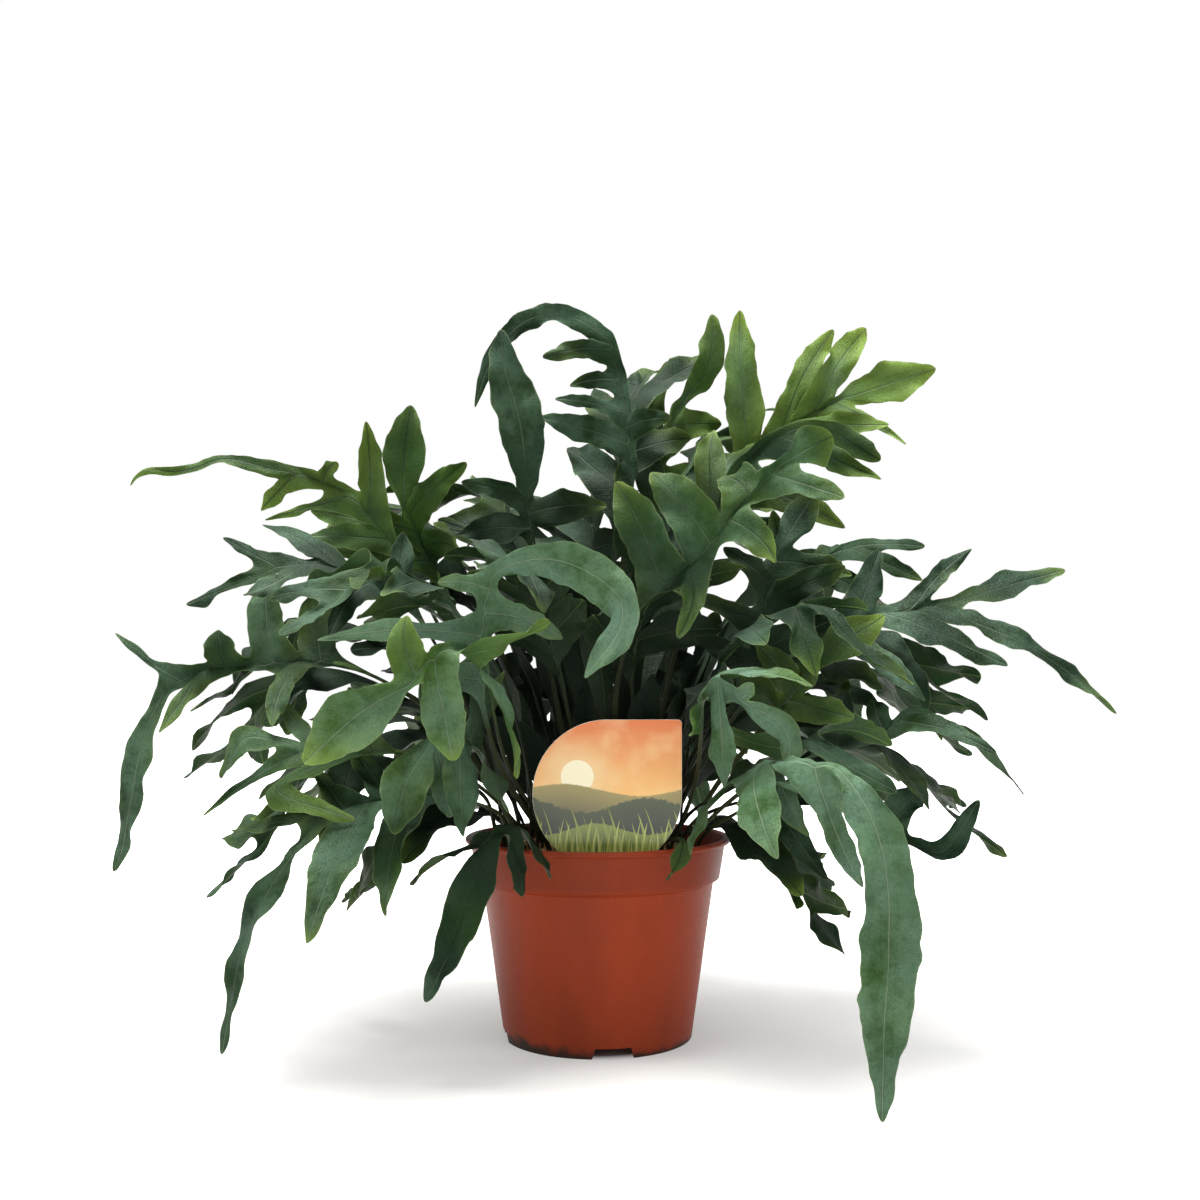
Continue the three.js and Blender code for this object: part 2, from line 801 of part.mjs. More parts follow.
// Stations for the lobes, in their order from the stalk up: at least one apart, and two apart where
// both are on one side. The side is 1 for left and -1 for right, as seen along the rachis.
function seatLobes(spec) {
  const lowest = spec.path[spec.blade[0]];
  const highest = spec.path[spec.blade[1]];
  const rise = vec(...highest).sub(vec(...lowest));
  const left = vec(...spec.face).cross(rise).normalize();
  let latest = { side: 0, station: 0 };
  return spec.lobes.map(([width, x, y, z, ...via], i) => {
    const nominal = vec(...lowest).addScaledVector(rise, (i + 1) / (spec.lobes.length + 1));
    const tip = vec(x, y, z);
    const side = tip.clone().sub(nominal).dot(left) > 0 ? 1 : -1;
    const station = latest.station + (side === latest.side ? 2 : 1);
    latest = { side, station };
    return {
      width,
      tip,
      via: via.length ? vec(...via) : null,
      side,
      station,
      curl: between(0.05, 0.22),
      arch: between(-0.06, 0.2),
      phase: between(0.5, 1.6) * (random() < 0.5 ? -1 : 1),
      waves: wavesOf(),
    };
  });
}

// The side that a lobe's tip lies on, or the other one where a neighbour has it; 0 if both are taken
function freeSide(spine, lobe, placed) {
  const { p, left } = spine.stations[spine.firstBlade + lobe.station];
  const near = lobe.tip.clone().sub(p).dot(left) > 0 ? 1 : -1;
  const isTaken = (side) =>
    placed.some((other) => other.side === side && Math.abs(other.station - lobe.station) < 2);
  return [near, -near].find((side) => !isTaken(side)) || 0;
}

// One frond as a mesh geometry, or null where there is no room for it
function growFrond(spec, frond) {
  spec.waves = wavesOf();
  spec.curl = between(0.05, 0.2);
  spec.face = spec.face || [0, -0.9, 0.45];
  spec.shiftSizes = spec.shiftSizes || [4, 8, 12, 17, 23, 30];
  const lobes = seatLobes(spec);
  spec.bladeSteps = Math.max(2, ...lobes.map((lobe) => lobe.station + 1));
  const spine = placeSpine(spec, frond);
  if (!spine) return null;
  const placed = [];
  for (const lobe of lobes) {
    lobe.side = freeSide(spine, lobe, placed);
    const made = lobe.side ? placeLobe(spine, lobe, placed, frond) : null;
    if (made) placed.push(made);
  }
  return { geometry: sheetOf(spine, placed).geometry(), foot: spine.stations[0] };
}

// Joins the stalk, the rachis and the lobes in one sheet. Where a lobe grows, its rib starts on the
// rachis and its margins start on the wing's points before and after it.
function sheetOf(spine, placed) {
  const sheet = new Sheet();
  const { stations, firstBlade } = spine;
  const last = stations.length - 1;
  const lobeAt = (i, side) => placed.find((b) => b.side === side && b.station === i - firstBlade);
  stations.forEach((station, i) => {
    if (i === 0 || i === last) {
      station.ribIndex = sheet.edge(station.p);
      return;
    }
    station.ribIndex = sheet.rib(station, station.half);
    station.leftIndex = lobeAt(i, 1) ? undefined : sheet.edge(station.leftEdge);
    station.rightIndex = lobeAt(i, -1) ? undefined : sheet.edge(station.rightEdge);
  });
  for (let i = 0; i < last; i++) {
    const a = stations[i];
    const b = stations[i + 1];
    if (i === 0) {
      sheet.triangle(a.ribIndex, b.ribIndex, b.leftIndex);
      sheet.triangle(a.ribIndex, b.rightIndex, b.ribIndex);
    } else if (i === last - 1) {
      sheet.triangle(a.ribIndex, b.ribIndex, a.leftIndex);
      sheet.triangle(a.ribIndex, a.rightIndex, b.ribIndex);
    } else {
      if (a.leftIndex === undefined) sheet.triangle(a.ribIndex, b.ribIndex, b.leftIndex);
      else if (b.leftIndex === undefined) sheet.triangle(a.ribIndex, b.ribIndex, a.leftIndex);
      else sheet.quad(a.ribIndex, b.ribIndex, b.leftIndex, a.leftIndex);
      if (a.rightIndex === undefined) sheet.triangle(a.ribIndex, b.rightIndex, b.ribIndex);
      else if (b.rightIndex === undefined) sheet.triangle(a.ribIndex, a.rightIndex, b.ribIndex);
      else sheet.quad(a.ribIndex, a.rightIndex, b.rightIndex, b.ribIndex);
    }
  }
  for (const { stations: own, station, side } of placed) {
    const middle = firstBlade + station;
    const edge = side > 0 ? 'leftIndex' : 'rightIndex';
    const near = stations[middle - 1][edge];
    const far = stations[middle + 1][edge];
    own[0].ribIndex = stations[middle].ribIndex;
    [own[0].leftIndex, own[0].rightIndex] = side > 0 ? [near, far] : [far, near];
    for (let i = 1; i < own.length; i++) {
      const a = own[i - 1];
      const b = own[i];
      if (i === own.length - 1) {
        b.ribIndex = sheet.edge(b.p);
        sheet.triangle(a.ribIndex, b.ribIndex, a.leftIndex);
        sheet.triangle(a.ribIndex, a.rightIndex, b.ribIndex);
      } else {
        b.ribIndex = sheet.rib(b, b.half);
        b.leftIndex = sheet.edge(b.leftEdge);
        b.rightIndex = sheet.edge(b.rightEdge);
        sheet.quad(a.ribIndex, b.ribIndex, b.leftIndex, a.leftIndex);
        sheet.quad(a.ribIndex, a.rightIndex, b.rightIndex, b.ribIndex);
      }
    }
  }
  return sheet;
}

// Fronds whose places are chosen by hand. path runs from above the bud to the tip of the end lobe;
// blade gives the points of path between which side lobes grow; width is the end lobe's; each lobe
// is its width and its tip, and some a point that they bend through, in order up the rachis.
const chosenFronds = {
  frond_front_centre: {
    root: [10, -14],
    path: [[12, -34, 190], [12, -68, 232], [24, -90, 269], [57, -92, 296], [88, -92, 333],
      [116, -90, 357], [137, -90, 369]],
    blade: [2, 5],
    width: 19,
    face: [0, -1, 0.2],
    lobes: [[22, 10, -98, 342], [12, 45, -105, 250], [26, 31, -98, 348], [15, 100, -112, 292],
      [20, 88, -84, 361], [15, 140, -98, 330]],
  },
  frond_card_left: {
    root: [-42, -50],
    path: [[-54, -74, 146], [-66, -94, 180], [-78, -106, 196], [-96, -116, 188],
      [-108, -126, 166], [-112, -132, 142]],
    blade: [1, 3],
    width: 20,
    face: [0, -0.6, 0.8],
    lobes: [[18, -50, -122, 152], [15, -54, -84, 232], [19, -74, -132, 140], [15, -98, -84, 238],
      [17, -104, -136, 136]],
  },
  frond_central_fold: {
    root: [-10, -28],
    path: [[-54, -64, 165], [-66, -112, 216], [-65, -128, 249], [-54, -130, 288], [-21, -134, 293],
      [7, -136, 277], [15, -140, 262], [-7, -150, 228]],
    blade: [1, 3],
    width: 21,
    face: [0, -0.9, 0.4],
    lobes: [[14, -100, -135, 235], [9, -156, -118, 249], [12, -20, -120, 250], [9, -87, -130, 280]],
  },
  frond_over_left: {
    root: [-20, -30],
    path: [[-52, -62, 165], [-60, -120, 225], [-78, -163, 243], [-104, -170, 222],
      [-125, -170, 209], [-152, -170, 184]],
    blade: [1, 3],
    width: 24,
    face: [0, -0.75, 0.65],
    lobes: [[17, -43, -160, 174], [18, -30, -150, 262], [20, -83, -160, 180], [16, -96, -150, 266]],
  },
  frond_big_hanging: {
    root: [50, -34],
    path: [[66, -62, 150], [96, -150, 182], [128, -198, 176], [142, -208, 142], [144, -210, 111],
      [143, -210, 82], [141, -210, 53], [140, -210, 11]],
    blade: [0, 2],
    width: 25,
    face: [0, -0.6, 0.8],
    lobes: [[14, 52, -128, 128], [12, 140, -160, 150], [20, 92, -198, 137], [12, 136, -168, 125]],
  },
  frond_over_pot: {
    root: [-40, -46],
    path: [[-46, -82, 138], [-50, -100, 141], [-60, -115, 133], [-72, -120, 103], [-83, -120, 74],
      [-96, -120, 48]],
    blade: [0, 2],
    width: 20,
    face: [0, -0.6, 0.8],
    lobes: [[15, -27, -108, 113], [22, -118, -100, 108], [12, -52, -130, 98], [15, -112, -135, 123]],
  },
  frond_over_card: {
    root: [48, -32],
    path: [[59, -64, 160], [58, -120, 200], [63, -147, 215], [84, -150, 197], [97, -150, 186],
      [105, -150, 175], [102, -150, 159]],
    blade: [1, 3],
    width: 16,
    face: [0, -0.8, 0.6],
    lobes: [[14, 50, -154, 197], [12, 84, -128, 222], [14, 69, -156, 178], [10, 111, -142, 203]],
  },
  frond_yellow_tips: {
    root: [54, -26],
    path: [[68, -60, 158], [97, -114, 204], [112, -118, 222], [124, -118, 238], [162, -116, 263]],
    blade: [1, 3],
    width: 17,
    face: [0, -0.9, 0.4],
    lobes: [[14, 89, -122, 236], [14, 140, -125, 216], [14, 91, -112, 248], [15, 152, -120, 236],
      [14, 131, -105, 264]],
  },
  frond_left_low: {
    root: [-40, -48],
    path: [[-60, -84, 150], [-78, -108, 160], [-123, -112, 158], [-169, -115, 148],
      [-208, -115, 141]],
    blade: [1, 3],
    width: 9,
    face: [0, -0.5, 0.85],
    lobes: [[14, -92, -110, 196], [16, -118, -135, 122], [12, -150, -100, 190],
      [24, -152, -150, 90, -140, -142, 126], [10, -182, -105, 170],
      [17, -222, -122, 20, -200, -124, 87]],
  },
  frond_left_green: {
    root: [-44, -32],
    path: [[-75, -62, 165], [-114, -96, 186], [-160, -98, 182], [-182, -100, 191],
      [-200, -100, 194], [-214, -100, 170]],
    blade: [1, 3],
    width: 16,
    face: [0, -0.5, 0.85],
    lobes: [[13, -148, -80, 222], [14, -146, -128, 119, -187, -122, 160], [11, -190, -84, 216],
      [6, -222, -104, 150]],
  },
  frond_long_arch: {
    root: [-48, -22],
    path: [[-90, -45, 195], [-125, -55, 226], [-152, -60, 236], [-209, -60, 235], [-240, -60, 230],
      [-262, -60, 216], [-273, -60, 190], [-279, -60, 158], [-285, -60, 123], [-290, -60, 111]],
    blade: [2, 5],
    width: 15,
    face: [0, -0.9, 0.35],
    lobes: [[18, -172, -48, 290], [12, -185, -85, 200], [18, -203, -56, 290],
      [16, -227, -48, 256], [9, -258, -84, 195], [5, -285, -60, 254]],
  },
  frond_left_dark: {
    root: [-44, -12],
    path: [[-70, -22, 180], [-110, -28, 262], [-135, -30, 281], [-166, -32, 296], [-197, -32, 296],
      [-218, -34, 287], [-255, -36, 272]],
    blade: [1, 5],
    width: 12,
    face: [0, -0.5, 0.85],
    lobes: [[16, -128, -26, 322], [14, -160, -60, 250], [12, -216, -20, 325],
      [15, -211, -50, 272], [8, -240, -24, 316]],
  },
  frond_left_ribbon: {
    root: [-44, 6],
    path: [[-75, 10, 200], [-125, 8, 300], [-163, 4, 345], [-188, 2, 356], [-214, 0, 361],
      [-251, 0, 367], [-267, 0, 359], [-294, 0, 360], [-302, 0, 349]],
    blade: [1, 4],
    width: 7,
    face: [0, -0.8, 0.6],
    lobes: [[15, -188, -12, 318], [14, -150, 12, 392], [6, -216, -10, 328], [10, -191, 0, 372],
      [10, -220, -6, 335]],
  },
  frond_bright_left: {
    root: [-30, 12],
    path: [[-60, 20, 200], [-105, 22, 290], [-128, 20, 345], [-128, 20, 372], [-123, 18, 406]],
    blade: [1, 2],
    width: 22,
    face: [0, -0.9, 0.4],
    lobes: [[19, -188, 6, 317], [17, -84, -6, 300], [20, -193, 18, 338], [16, -94, 14, 391]],
  },
  frond_tall_left: {
    root: [-14, -20],
    path: [[-28, -14, 220], [-42, -10, 312], [-46, -10, 350], [-50, -6, 391], [-61, -5, 429],
      [-62, -5, 451]],
    blade: [1, 2],
    width: 27,
    face: [0, -0.95, 0.3],
    lobes: [[15, -90, -16, 318], [17, 6, -26, 333], [13, -88, -14, 352]],
  },
  frond_plume: {
    root: [-4, 18],
    path: [[8, 35, 220], [21, 38, 350], [19, 40, 395], [13, 40, 432], [3, 40, 457],
      [-19, 38, 469], [-36, 38, 472], [-62, 36, 455], [-74, 36, 435], [-83, 36, 407]],
    blade: [1, 4],
    width: 12,
    face: [0, -1, 0.1],
    lobes: [[14, 12, 4, 352], [15, -38, 16, 394], [13, 50, 30, 402], [9, -28, 16, 407],
      [10, -19, 20, 420], [11, -36, 20, 436]],
  },
  frond_crown_centre: {
    root: [6, 26],
    path: [[18, 48, 200], [36, 62, 330], [46, 64, 385], [62, 62, 420], [79, 60, 448],
      [78, 58, 476]],
    blade: [1, 3],
    width: 18,
    face: [0, -1, 0.1],
    lobes: [[18, 84, 50, 372], [20, 58, 96, 484, 42, 98, 430], [18, 88, 48, 405]],
  },
  frond_crown_right: {
    root: [26, 18],
    path: [[40, 28, 200], [70, 32, 310], [92, 32, 362], [134, 34, 398], [172, 36, 415],
      [228, 38, 434]],
    blade: [2, 4],
    width: 23,
    face: [0, -0.95, 0.3],
    lobes: [[20, 104, 22, 482], [14, 150, 10, 366], [19, 161, 42, 463], [13, 188, 4, 389],
      [18, 178, 48, 461], [6, 196, -8, 377]],
  },
  frond_right_mid: {
    root: [30, -6],
    path: [[45, -10, 220], [66, -15, 313], [100, -20, 368], [137, -22, 384], [178, -25, 363]],
    blade: [1, 3],
    width: 16,
    face: [0, -0.95, 0.3],
    lobes: [[16, 72, -30, 388], [16, 151, -36, 318], [22, 170, -10, 434], [13, 175, -30, 349]],
  },
  frond_right_upright: {
    root: [34, -14],
    path: [[60, -35, 170], [86, -55, 220], [99, -60, 250], [102, -60, 280], [113, -60, 310],
      [133, -58, 341]],
    blade: [1, 4],
    width: 15,
    face: [0, -0.95, 0.3],
    lobes: [[13, 58, -72, 252], [15, 141, -76, 263], [9, 45, -66, 281], [16, 147, -64, 312],
      [11, 76, -64, 306], [12, 152, -52, 288]],
  },
  frond_right_long: {
    root: [46, -20],
    path: [[75, -34, 190], [115, -44, 240], [153, -48, 262], [190, -48, 268], [222, -42, 274],
      [255, -35, 284], [292, -30, 294]],
    blade: [1, 4],
    width: 18,
    face: [0, -0.6, 0.8],
    lobes: [[13, 140, -40, 302], [12, 190, -76, 214], [15, 176, -38, 306],
      [16, 240, -72, 234], [10, 234, -34, 308], [14, 306, -62, 206, 262, -70, 232]],
  },
  frond_right_thin: {
    root: [40, 14],
    path: [[75, 12, 200], [115, 8, 275], [145, 4, 303], [178, 0, 312], [211, 0, 311]],
    blade: [1, 3],
    width: 9,
    face: [0, -0.6, 0.8],
    lobes: [[15, 118, -6, 340], [14, 176, -6, 275], [14, 172, 14, 320], [10, 205, -4, 288]],
  },
  frond_right_low: {
    root: [60, -26],
    path: [[90, -64, 152], [110, -106, 184], [118, -134, 193], [134, -140, 182],
      [163, -140, 166]],
    blade: [0, 2],
    width: 16,
    face: [0, -0.6, 0.8],
    lobes: [[13, 84, -124, 148], [15, 122, -92, 214], [15, 118, -132, 140], [14, 76, -128, 214],
      [16, 171, -118, 211]],
  },
  frond_right_arch: {
    root: [58, -22],
    path: [[90, -55, 160], [128, -82, 182], [165, -92, 194], [190, -94, 207], [212, -94, 198],
      [240, -94, 174], [253, -94, 158]],
    blade: [1, 3],
    width: 13,
    face: [0, -0.6, 0.8],
    lobes: [[14, 150, -70, 226], [14, 166, -116, 168], [12, 196, -72, 230], [11, 222, -108, 186]],
  },
  frond_right_cup: {
    root: [58, 30],
    path: [[96, -20, 150], [142, -56, 150], [182, -72, 132], [198, -76, 121], [210, -78, 135],
      [224, -78, 156]],
    blade: [0, 2],
    width: 13,
    face: [0, -0.6, 0.8],
    lobes: [[12, 136, -80, 118], [14, 148, -24, 178], [9, 192, -84, 146, 176, -82, 150],
      [16, 212, -52, 156]],
  },
  frond_inner_left: {
    root: [-40, 18],
    path: [[-46, 30, 150], [-58, 38, 182], [-68, 42, 212], [-76, 42, 236], [-84, 40, 262]],
    blade: [0, 3],
    width: 16,
    face: [0, -1, 0.15],
    lobes: [[17, -98, 36, 168], [16, -20, 40, 196], [17, -122, 38, 204], [17, -38, 44, 236],
      [16, -120, 38, 240], [15, -52, 42, 266]],
  },
  frond_inner_right: {
    root: [34, 20],
    path: [[40, 30, 150], [52, 38, 184], [62, 42, 216], [70, 42, 242], [80, 40, 270]],
    blade: [0, 3],
    width: 16,
    face: [0, -1, 0.15],
    lobes: [[17, 92, 34, 166], [16, 16, 40, 200], [17, 112, 38, 206], [17, 30, 44, 240],
      [16, 112, 38, 246], [15, 46, 42, 272]],
  },
  frond_inner_centre: {
    root: [2, 34],
    path: [[-2, 44, 150], [-6, 52, 190], [-10, 56, 224], [-12, 56, 252], [-14, 54, 284]],
    blade: [0, 3],
    width: 16,
    face: [0, -1, 0.15],
    lobes: [[17, 34, 48, 184], [17, -44, 50, 190], [18, 34, 52, 226], [17, -54, 52, 232],
      [16, 28, 52, 262], [15, -44, 52, 274]],
  },
};

// A young shoot, still without a blade, that hangs over the rim
const youngShoot = {
  root: [42, -50],
  path: [[49, -60, 131], [50, -73, 130.5], [47, -78, 120], [40, -80, 110]],
  blade: [1, 2],
  width: 3.4,
  face: [0, -0.3, 1],
  lobes: [],
};

// Fronds that fill the plant out, by direction in degrees from +X, reach, height of the arch and
// height of the tip: first those that show between the chosen ones, then the sides and the back
const fillFronds = [
  [12, 235, 232, 172],
  [40, 225, 200, 124],
  [208, 185, 292, 252],
  [330, 180, 268, 225],
  [190, 225, 262, 205],
  [352, 215, 256, 200],
  [348, 138, 146, 78],
  [236, 118, 296, 290],
  [300, 118, 296, 288],
  [200, 215, 180, 104],
  [345, 222, 176, 108],
  [186, 140, 146, 78],
  [66, 215, 240, 112],
  [93, 228, 198, 116],
  [118, 220, 238, 112],
  [144, 230, 202, 124],
  [169, 240, 230, 160],
  [26, 208, 312, 272],
  [53, 196, 350, 322],
  [80, 192, 300, 246],
  [106, 190, 356, 330],
  [133, 204, 306, 258],
  [158, 206, 346, 316],
  [34, 125, 396, 414],
  [72, 112, 428, 446],
  [92, 118, 352, 346],
  [150, 125, 352, 340],
];

// A rule-made frond: it arches out over the rim, with lobes in turn to either side
function fillSpec([direction, reach, archHeight, tipHeight]) {
  const angle = THREE.MathUtils.degToRad(direction);
  const out = vec(Math.cos(angle), Math.sin(angle), 0);
  const across = vec(-out.y, out.x, 0);
  const swing = between(-0.12, 0.12) * reach;
  const at = (share, height, lateral) =>
    out.clone().multiplyScalar(share * reach).addScaledVector(across, lateral * swing).setZ(height);
  const steep = archHeight > steepArch;
  const path = [
    at(0.36, soilHeight + 0.62 * (archHeight - soilHeight), 0.1),
    at(0.62, soilHeight + 0.93 * (archHeight - soilHeight), 0.4),
    at(0.82, archHeight, 0.8),
    at(1, 0.35 * archHeight + 0.65 * tipHeight, 1.1),
    at(1.14, tipHeight, 1.2),
  ];
  const face = steep ? out.clone().negate().addScaledVector(up, 0.4) : up.clone();
  const lobes = [];
  const count = steep ? steepLobes : archedLobes;
  for (let i = 0; i < count; i++) {
    const share = i / (count - 1);
    const base = path[0].clone().lerp(path[1], 0.55);
    const centre = base.lerp(path[3], share * 0.95);
    const ahead = path[3].clone().sub(path[0]).normalize();
    const side = i % 2 ? 1 : -1;
    const length = between(...fillLobeLengths) * (1 - 0.3 * Math.abs(share - 0.4));
    const tip = centre.clone().addScaledVector(across, side * 0.8 * length);
    tip.addScaledVector(ahead, 0.5 * length).addScaledVector(up, between(-22, 14));
    lobes.push([between(...fillLobeWidths), tip.x, tip.y, tip.z]);
  }
  return {
    root: [0.3 * reach * out.x * 0.8, 0.3 * reach * out.y * 0.8],
    path: path.map((p) => p.toArray()),
    blade: [0, 3],
    width: between(18, 25),
    face: face.toArray(),
    shiftSizes: [6, 12, 20, 30, 42],
    lobes,
  };
}

// A stalk's socket in the rhizome and soil: a short upright lozenge a little larger than the stalk
function socketAt(foot) {
  const long = stalkHalfWidth + socketMargin;
  const short = stalkHalf + socketMargin;
  const shape = new THREE.Shape([
    new THREE.Vector2(long, 0),
    new THREE.Vector2(0, short),
    new THREE.Vector2(-long, 0),
    new THREE.Vector2(0, -short),
  ]);
  const depth = socketDepth + socketHeight;
  const geometry = new THREE.ExtrudeGeometry(shape, { depth, bevelEnabled: false });
  geometry.rotateZ(Math.atan2(foot.left.y, foot.left.x));
  geometry.translate(foot.p.x, foot.p.y, foot.p.z - 0.6);
  return solidFrom(geometry);
}

// Assembly
const finish = (color, roughness) =>
  new THREE.MeshStandardMaterial({ color, roughness, metalness: 0, side: THREE.DoubleSide });
const potFinish = finish('#a4482c', 0.45);
const soilFinish = finish('#2a1d15', 0.95);
const rhizomeFinish = finish('#8a6432', 0.85);
const cardFinish = finish('#e39a5a', 0.4);
const frondFinish = finish('#4d7468', 0.6);
const shootFinish = finish('#7d8a3a', 0.6);

const plant = new THREE.Group();
function addMesh(name, geometry, material) {
  const mesh = new THREE.Mesh(geometry, material);
  mesh.name = name;
  plant.add(mesh);
}

function rememberSolid(geometry, name) {
  const index = geometry.index.array;
  const points = geometry.getAttribute('position');
  for (let i = 0; i < index.length; i += 3) {
    const corners = [0, 1, 2].map((j) => vec(0, 0, 0).fromBufferAttribute(points, index[i + j]));
    remember({ corners, frond: name, station: 0, base: false });
  }
}

const cardGeometry = geometryFrom(makeCard(0));
rememberSolid(cardGeometry, 'card');
rememberSolid(geometryFrom(makeRhizome(0)), 'rhizome');

const sockets = [];
function addFrond(spec, name, material) {
  const grown = growFrond(spec, name);
  if (!grown) return;
  addMesh(name, grown.geometry, material);
  sockets.push(socketAt(grown.foot));
}

// Widens a chosen frond a little and sets its lobe tips in turn nearer and further back
function loosen(spec) {
  spec.width *= chosenBreadth;
  spec.lobes.forEach((lobe, i) => {
    lobe[0] *= chosenBreadth;
    lobe[2] += (i % 2 ? -1 : 1) * depthSwing * between(0.3, 1);
  });
  return spec;
}

Object.entries(chosenFronds).forEach(([name, spec]) => addFrond(loosen(spec), name, frondFinish));
addFrond(youngShoot, 'young_shoot', shootFinish);
fillFronds.forEach((row, i) => {
  addFrond(fillSpec(row), `frond_fill_${String(i + 1).padStart(2, '0')}`, frondFinish);
});

const socketSet = sockets.reduce((all, next) => all.add(next));
const rhizome = makeRhizome(0).subtract(socketSet);
const bed = makeRhizome(seatGap).add(makeCard(seatGap)).add(socketSet);
addMesh('pot', geometryFrom(makePot()), potFinish);
addMesh('soil', geometryFrom(makeSoil().subtract(bed)), soilFinish);
addMesh('rhizome', geometryFrom(rhizome), rhizomeFinish);
addMesh('plant_card', cardGeometry, cardFinish);

export default plant;
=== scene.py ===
"""Looks for the potted blue star fern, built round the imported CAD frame.

Each frond is read from its CAD blade as a sheet of rib and margin points. The sheet is smoothed by
Loop subdivision, rippled along its margins and given a thin blade with a midrib. The pot, soil,
rhizome and card are remade with a finer grain in the places that the frame gives. Young leaves, too
small for CAD nodes of their own, fill the heart of the plant.
"""

import math

import bmesh
import bpy
import numpy as np
from mathutils import Matrix, Vector
from mathutils.kdtree import KDTree


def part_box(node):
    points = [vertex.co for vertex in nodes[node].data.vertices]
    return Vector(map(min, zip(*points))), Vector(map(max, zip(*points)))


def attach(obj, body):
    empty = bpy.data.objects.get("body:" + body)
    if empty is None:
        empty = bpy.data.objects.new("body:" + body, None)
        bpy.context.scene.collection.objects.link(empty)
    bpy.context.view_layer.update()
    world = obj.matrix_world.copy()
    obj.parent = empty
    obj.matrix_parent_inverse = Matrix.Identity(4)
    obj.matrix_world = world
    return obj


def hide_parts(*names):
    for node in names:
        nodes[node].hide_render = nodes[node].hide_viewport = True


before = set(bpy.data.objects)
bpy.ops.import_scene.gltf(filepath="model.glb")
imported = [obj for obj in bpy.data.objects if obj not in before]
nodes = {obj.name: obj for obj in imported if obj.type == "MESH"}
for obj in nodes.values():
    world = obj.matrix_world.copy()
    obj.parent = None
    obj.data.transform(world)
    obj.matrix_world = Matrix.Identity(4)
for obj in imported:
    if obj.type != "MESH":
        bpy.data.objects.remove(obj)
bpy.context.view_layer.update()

MM = 0.001
BODY = "root"

# Fronds, in metres
WELD = 0.00001
THICKEST_RIB = 0.0024
STALK_HALF = 0.00105
BLADE_HALF = 0.0002
MIDRIB_HALF_WIDTH = 0.0011
END_REACH = 0.015
FINE_LEVELS = 3
PLAIN_LEVELS = 2

# Triangles across a rib agree less than this in where they face, and the upper side faces up and
# to the front. A frond's foot is its lowest end, where a thick one counts as lower
OPPOSED = 0.6
UPPER_WAY = (0, -0.5, 0.85)
FOOT_WEIGHT = 10

# Waves of a blade: heights, how closely they keep to the margin, and where they start
RIPPLE = 0.0021
BUCKLE = 0.0007
NOTCHING = 0.0005
RIPPLE_POWER = 1.6
NOTCH_POWER = 3
NARROW = 0.006
WAVE_LEAD = 0.004
WAVE_FULL = 0.012

# Where a stalk turns into a blade, by its share of stalk, and where shade is painted on the blades in
# the heart of the plant
STEM_FADE = (0.2, 0.9)
HEART = (0, 0, 0.2)
HEART_SHADE_REACH = 0.19
HEART_SHADE_CORE = 0.06

FIT_STEPS = 4
FIT_SHARE = 0.8

# Yellow-green of a frond: in its body, at its tips and in stray patches at the tips
# It is partly the young leaf's own colour and partly painted light shining through the blade, most at
# the tips
TIP_TINT = 0.03
FRESH_BODY = 0.45
FRESH_TIP = 0.75
YELLOW_SHARE = 0.6
YELLOW_LEAST = 0.35
YELLOW_DRIFT = 0.5

# How far the three moods drift over a frond, how many fill fronds show from the front and get the
# fine mesh too, and what the moods of the fills are drawn from
DRIFT = (0.10, 0.22, 0.18)
FRONT_FILLS = 12
FILL_MOODS = ((0.05, 0.05, 0.70), (0.35, 0.45, 1.10))

# How each chosen frond looks, from 0 to about 1: yellow-green, pale blue bloom and deep green.
# The names leave out frond_
# Their yellow-green is partly the young leaf's colour and partly painted light shining through it
MOODS = {
    "front_centre": (0.35, 0.30, 0.35),
    "card_left": (0.15, 0.50, 0.55),
    "central_fold": (0.20, 1.10, 0.10),
    "over_left": (0.45, 0.75, 0.15),
    "big_hanging": (0.12, 0.85, 0.30),
    "over_pot": (0.05, 0.15, 0.85),
    "over_card": (0.15, 0.95, 0.15),
    "yellow_tips": (0.50, 0.25, 0.70),
    "left_low": (0.25, 0.50, 0.80),
    "left_green": (0.40, 0.30, 0.60),
    "long_arch": (0.35, 0.35, 0.85),
    "left_dark": (0.05, 0.25, 0.95),
    "left_ribbon": (0.60, 0.20, 0.40),
    "bright_left": (0.50, 0.10, 0.20),
    "tall_left": (0.05, 0.30, 0.90),
    "plume": (0.10, 0.35, 0.80),
    "crown_centre": (0.60, 0.35, 0.15),
    "crown_right": (0.95, 0.25, 0.00),
    "right_mid": (0.40, 0.15, 0.75),
    "right_upright": (0.20, 0.20, 0.90),
    "right_long": (0.12, 0.38, 1.00),
    "right_thin": (0.20, 0.20, 0.70),
    "right_low": (0.18, 0.42, 0.75),
    "right_arch": (0.20, 0.35, 0.90),
    "right_cup": (0.05, 0.35, 0.95),
    "inner_left": (0.10, 0.20, 0.80),
    "inner_right": (0.15, 0.20, 0.80),
    "inner_centre": (0.10, 0.10, 0.90),
    "young_shoot": (0.95, 0.0, 0.30),
}

rng = np.random.default_rng(11)


def smooth_step(low, high, value):
    """0 below low, 1 above high, and a smooth rise between."""
    t = np.clip((value - low) / (high - low), 0, 1)
    return t * t * (3 - 2 * t)


class Swell:
    """Smooth noise in space, about -1 to 1: a sum of seeded sine waves."""

    def __init__(self, wavelength, waves=9, channels=1):
        turn = rng.normal(size=(channels, waves, 3))
        turn /= np.linalg.norm(turn, axis=2, keepdims=True)
        pace = rng.uniform(0.7, 1.5, size=(channels, waves, 1))
        self.turn = turn * pace * 2 * math.pi / wavelength
        self.phase = rng.uniform(0, 2 * math.pi, size=(channels, waves))

    def __call__(self, points):
        parts = np.sin(np.einsum("cwk,nk->ncw", self.turn, points) + self.phase)
        return parts.sum(2) / math.sqrt(self.phase.shape[1])


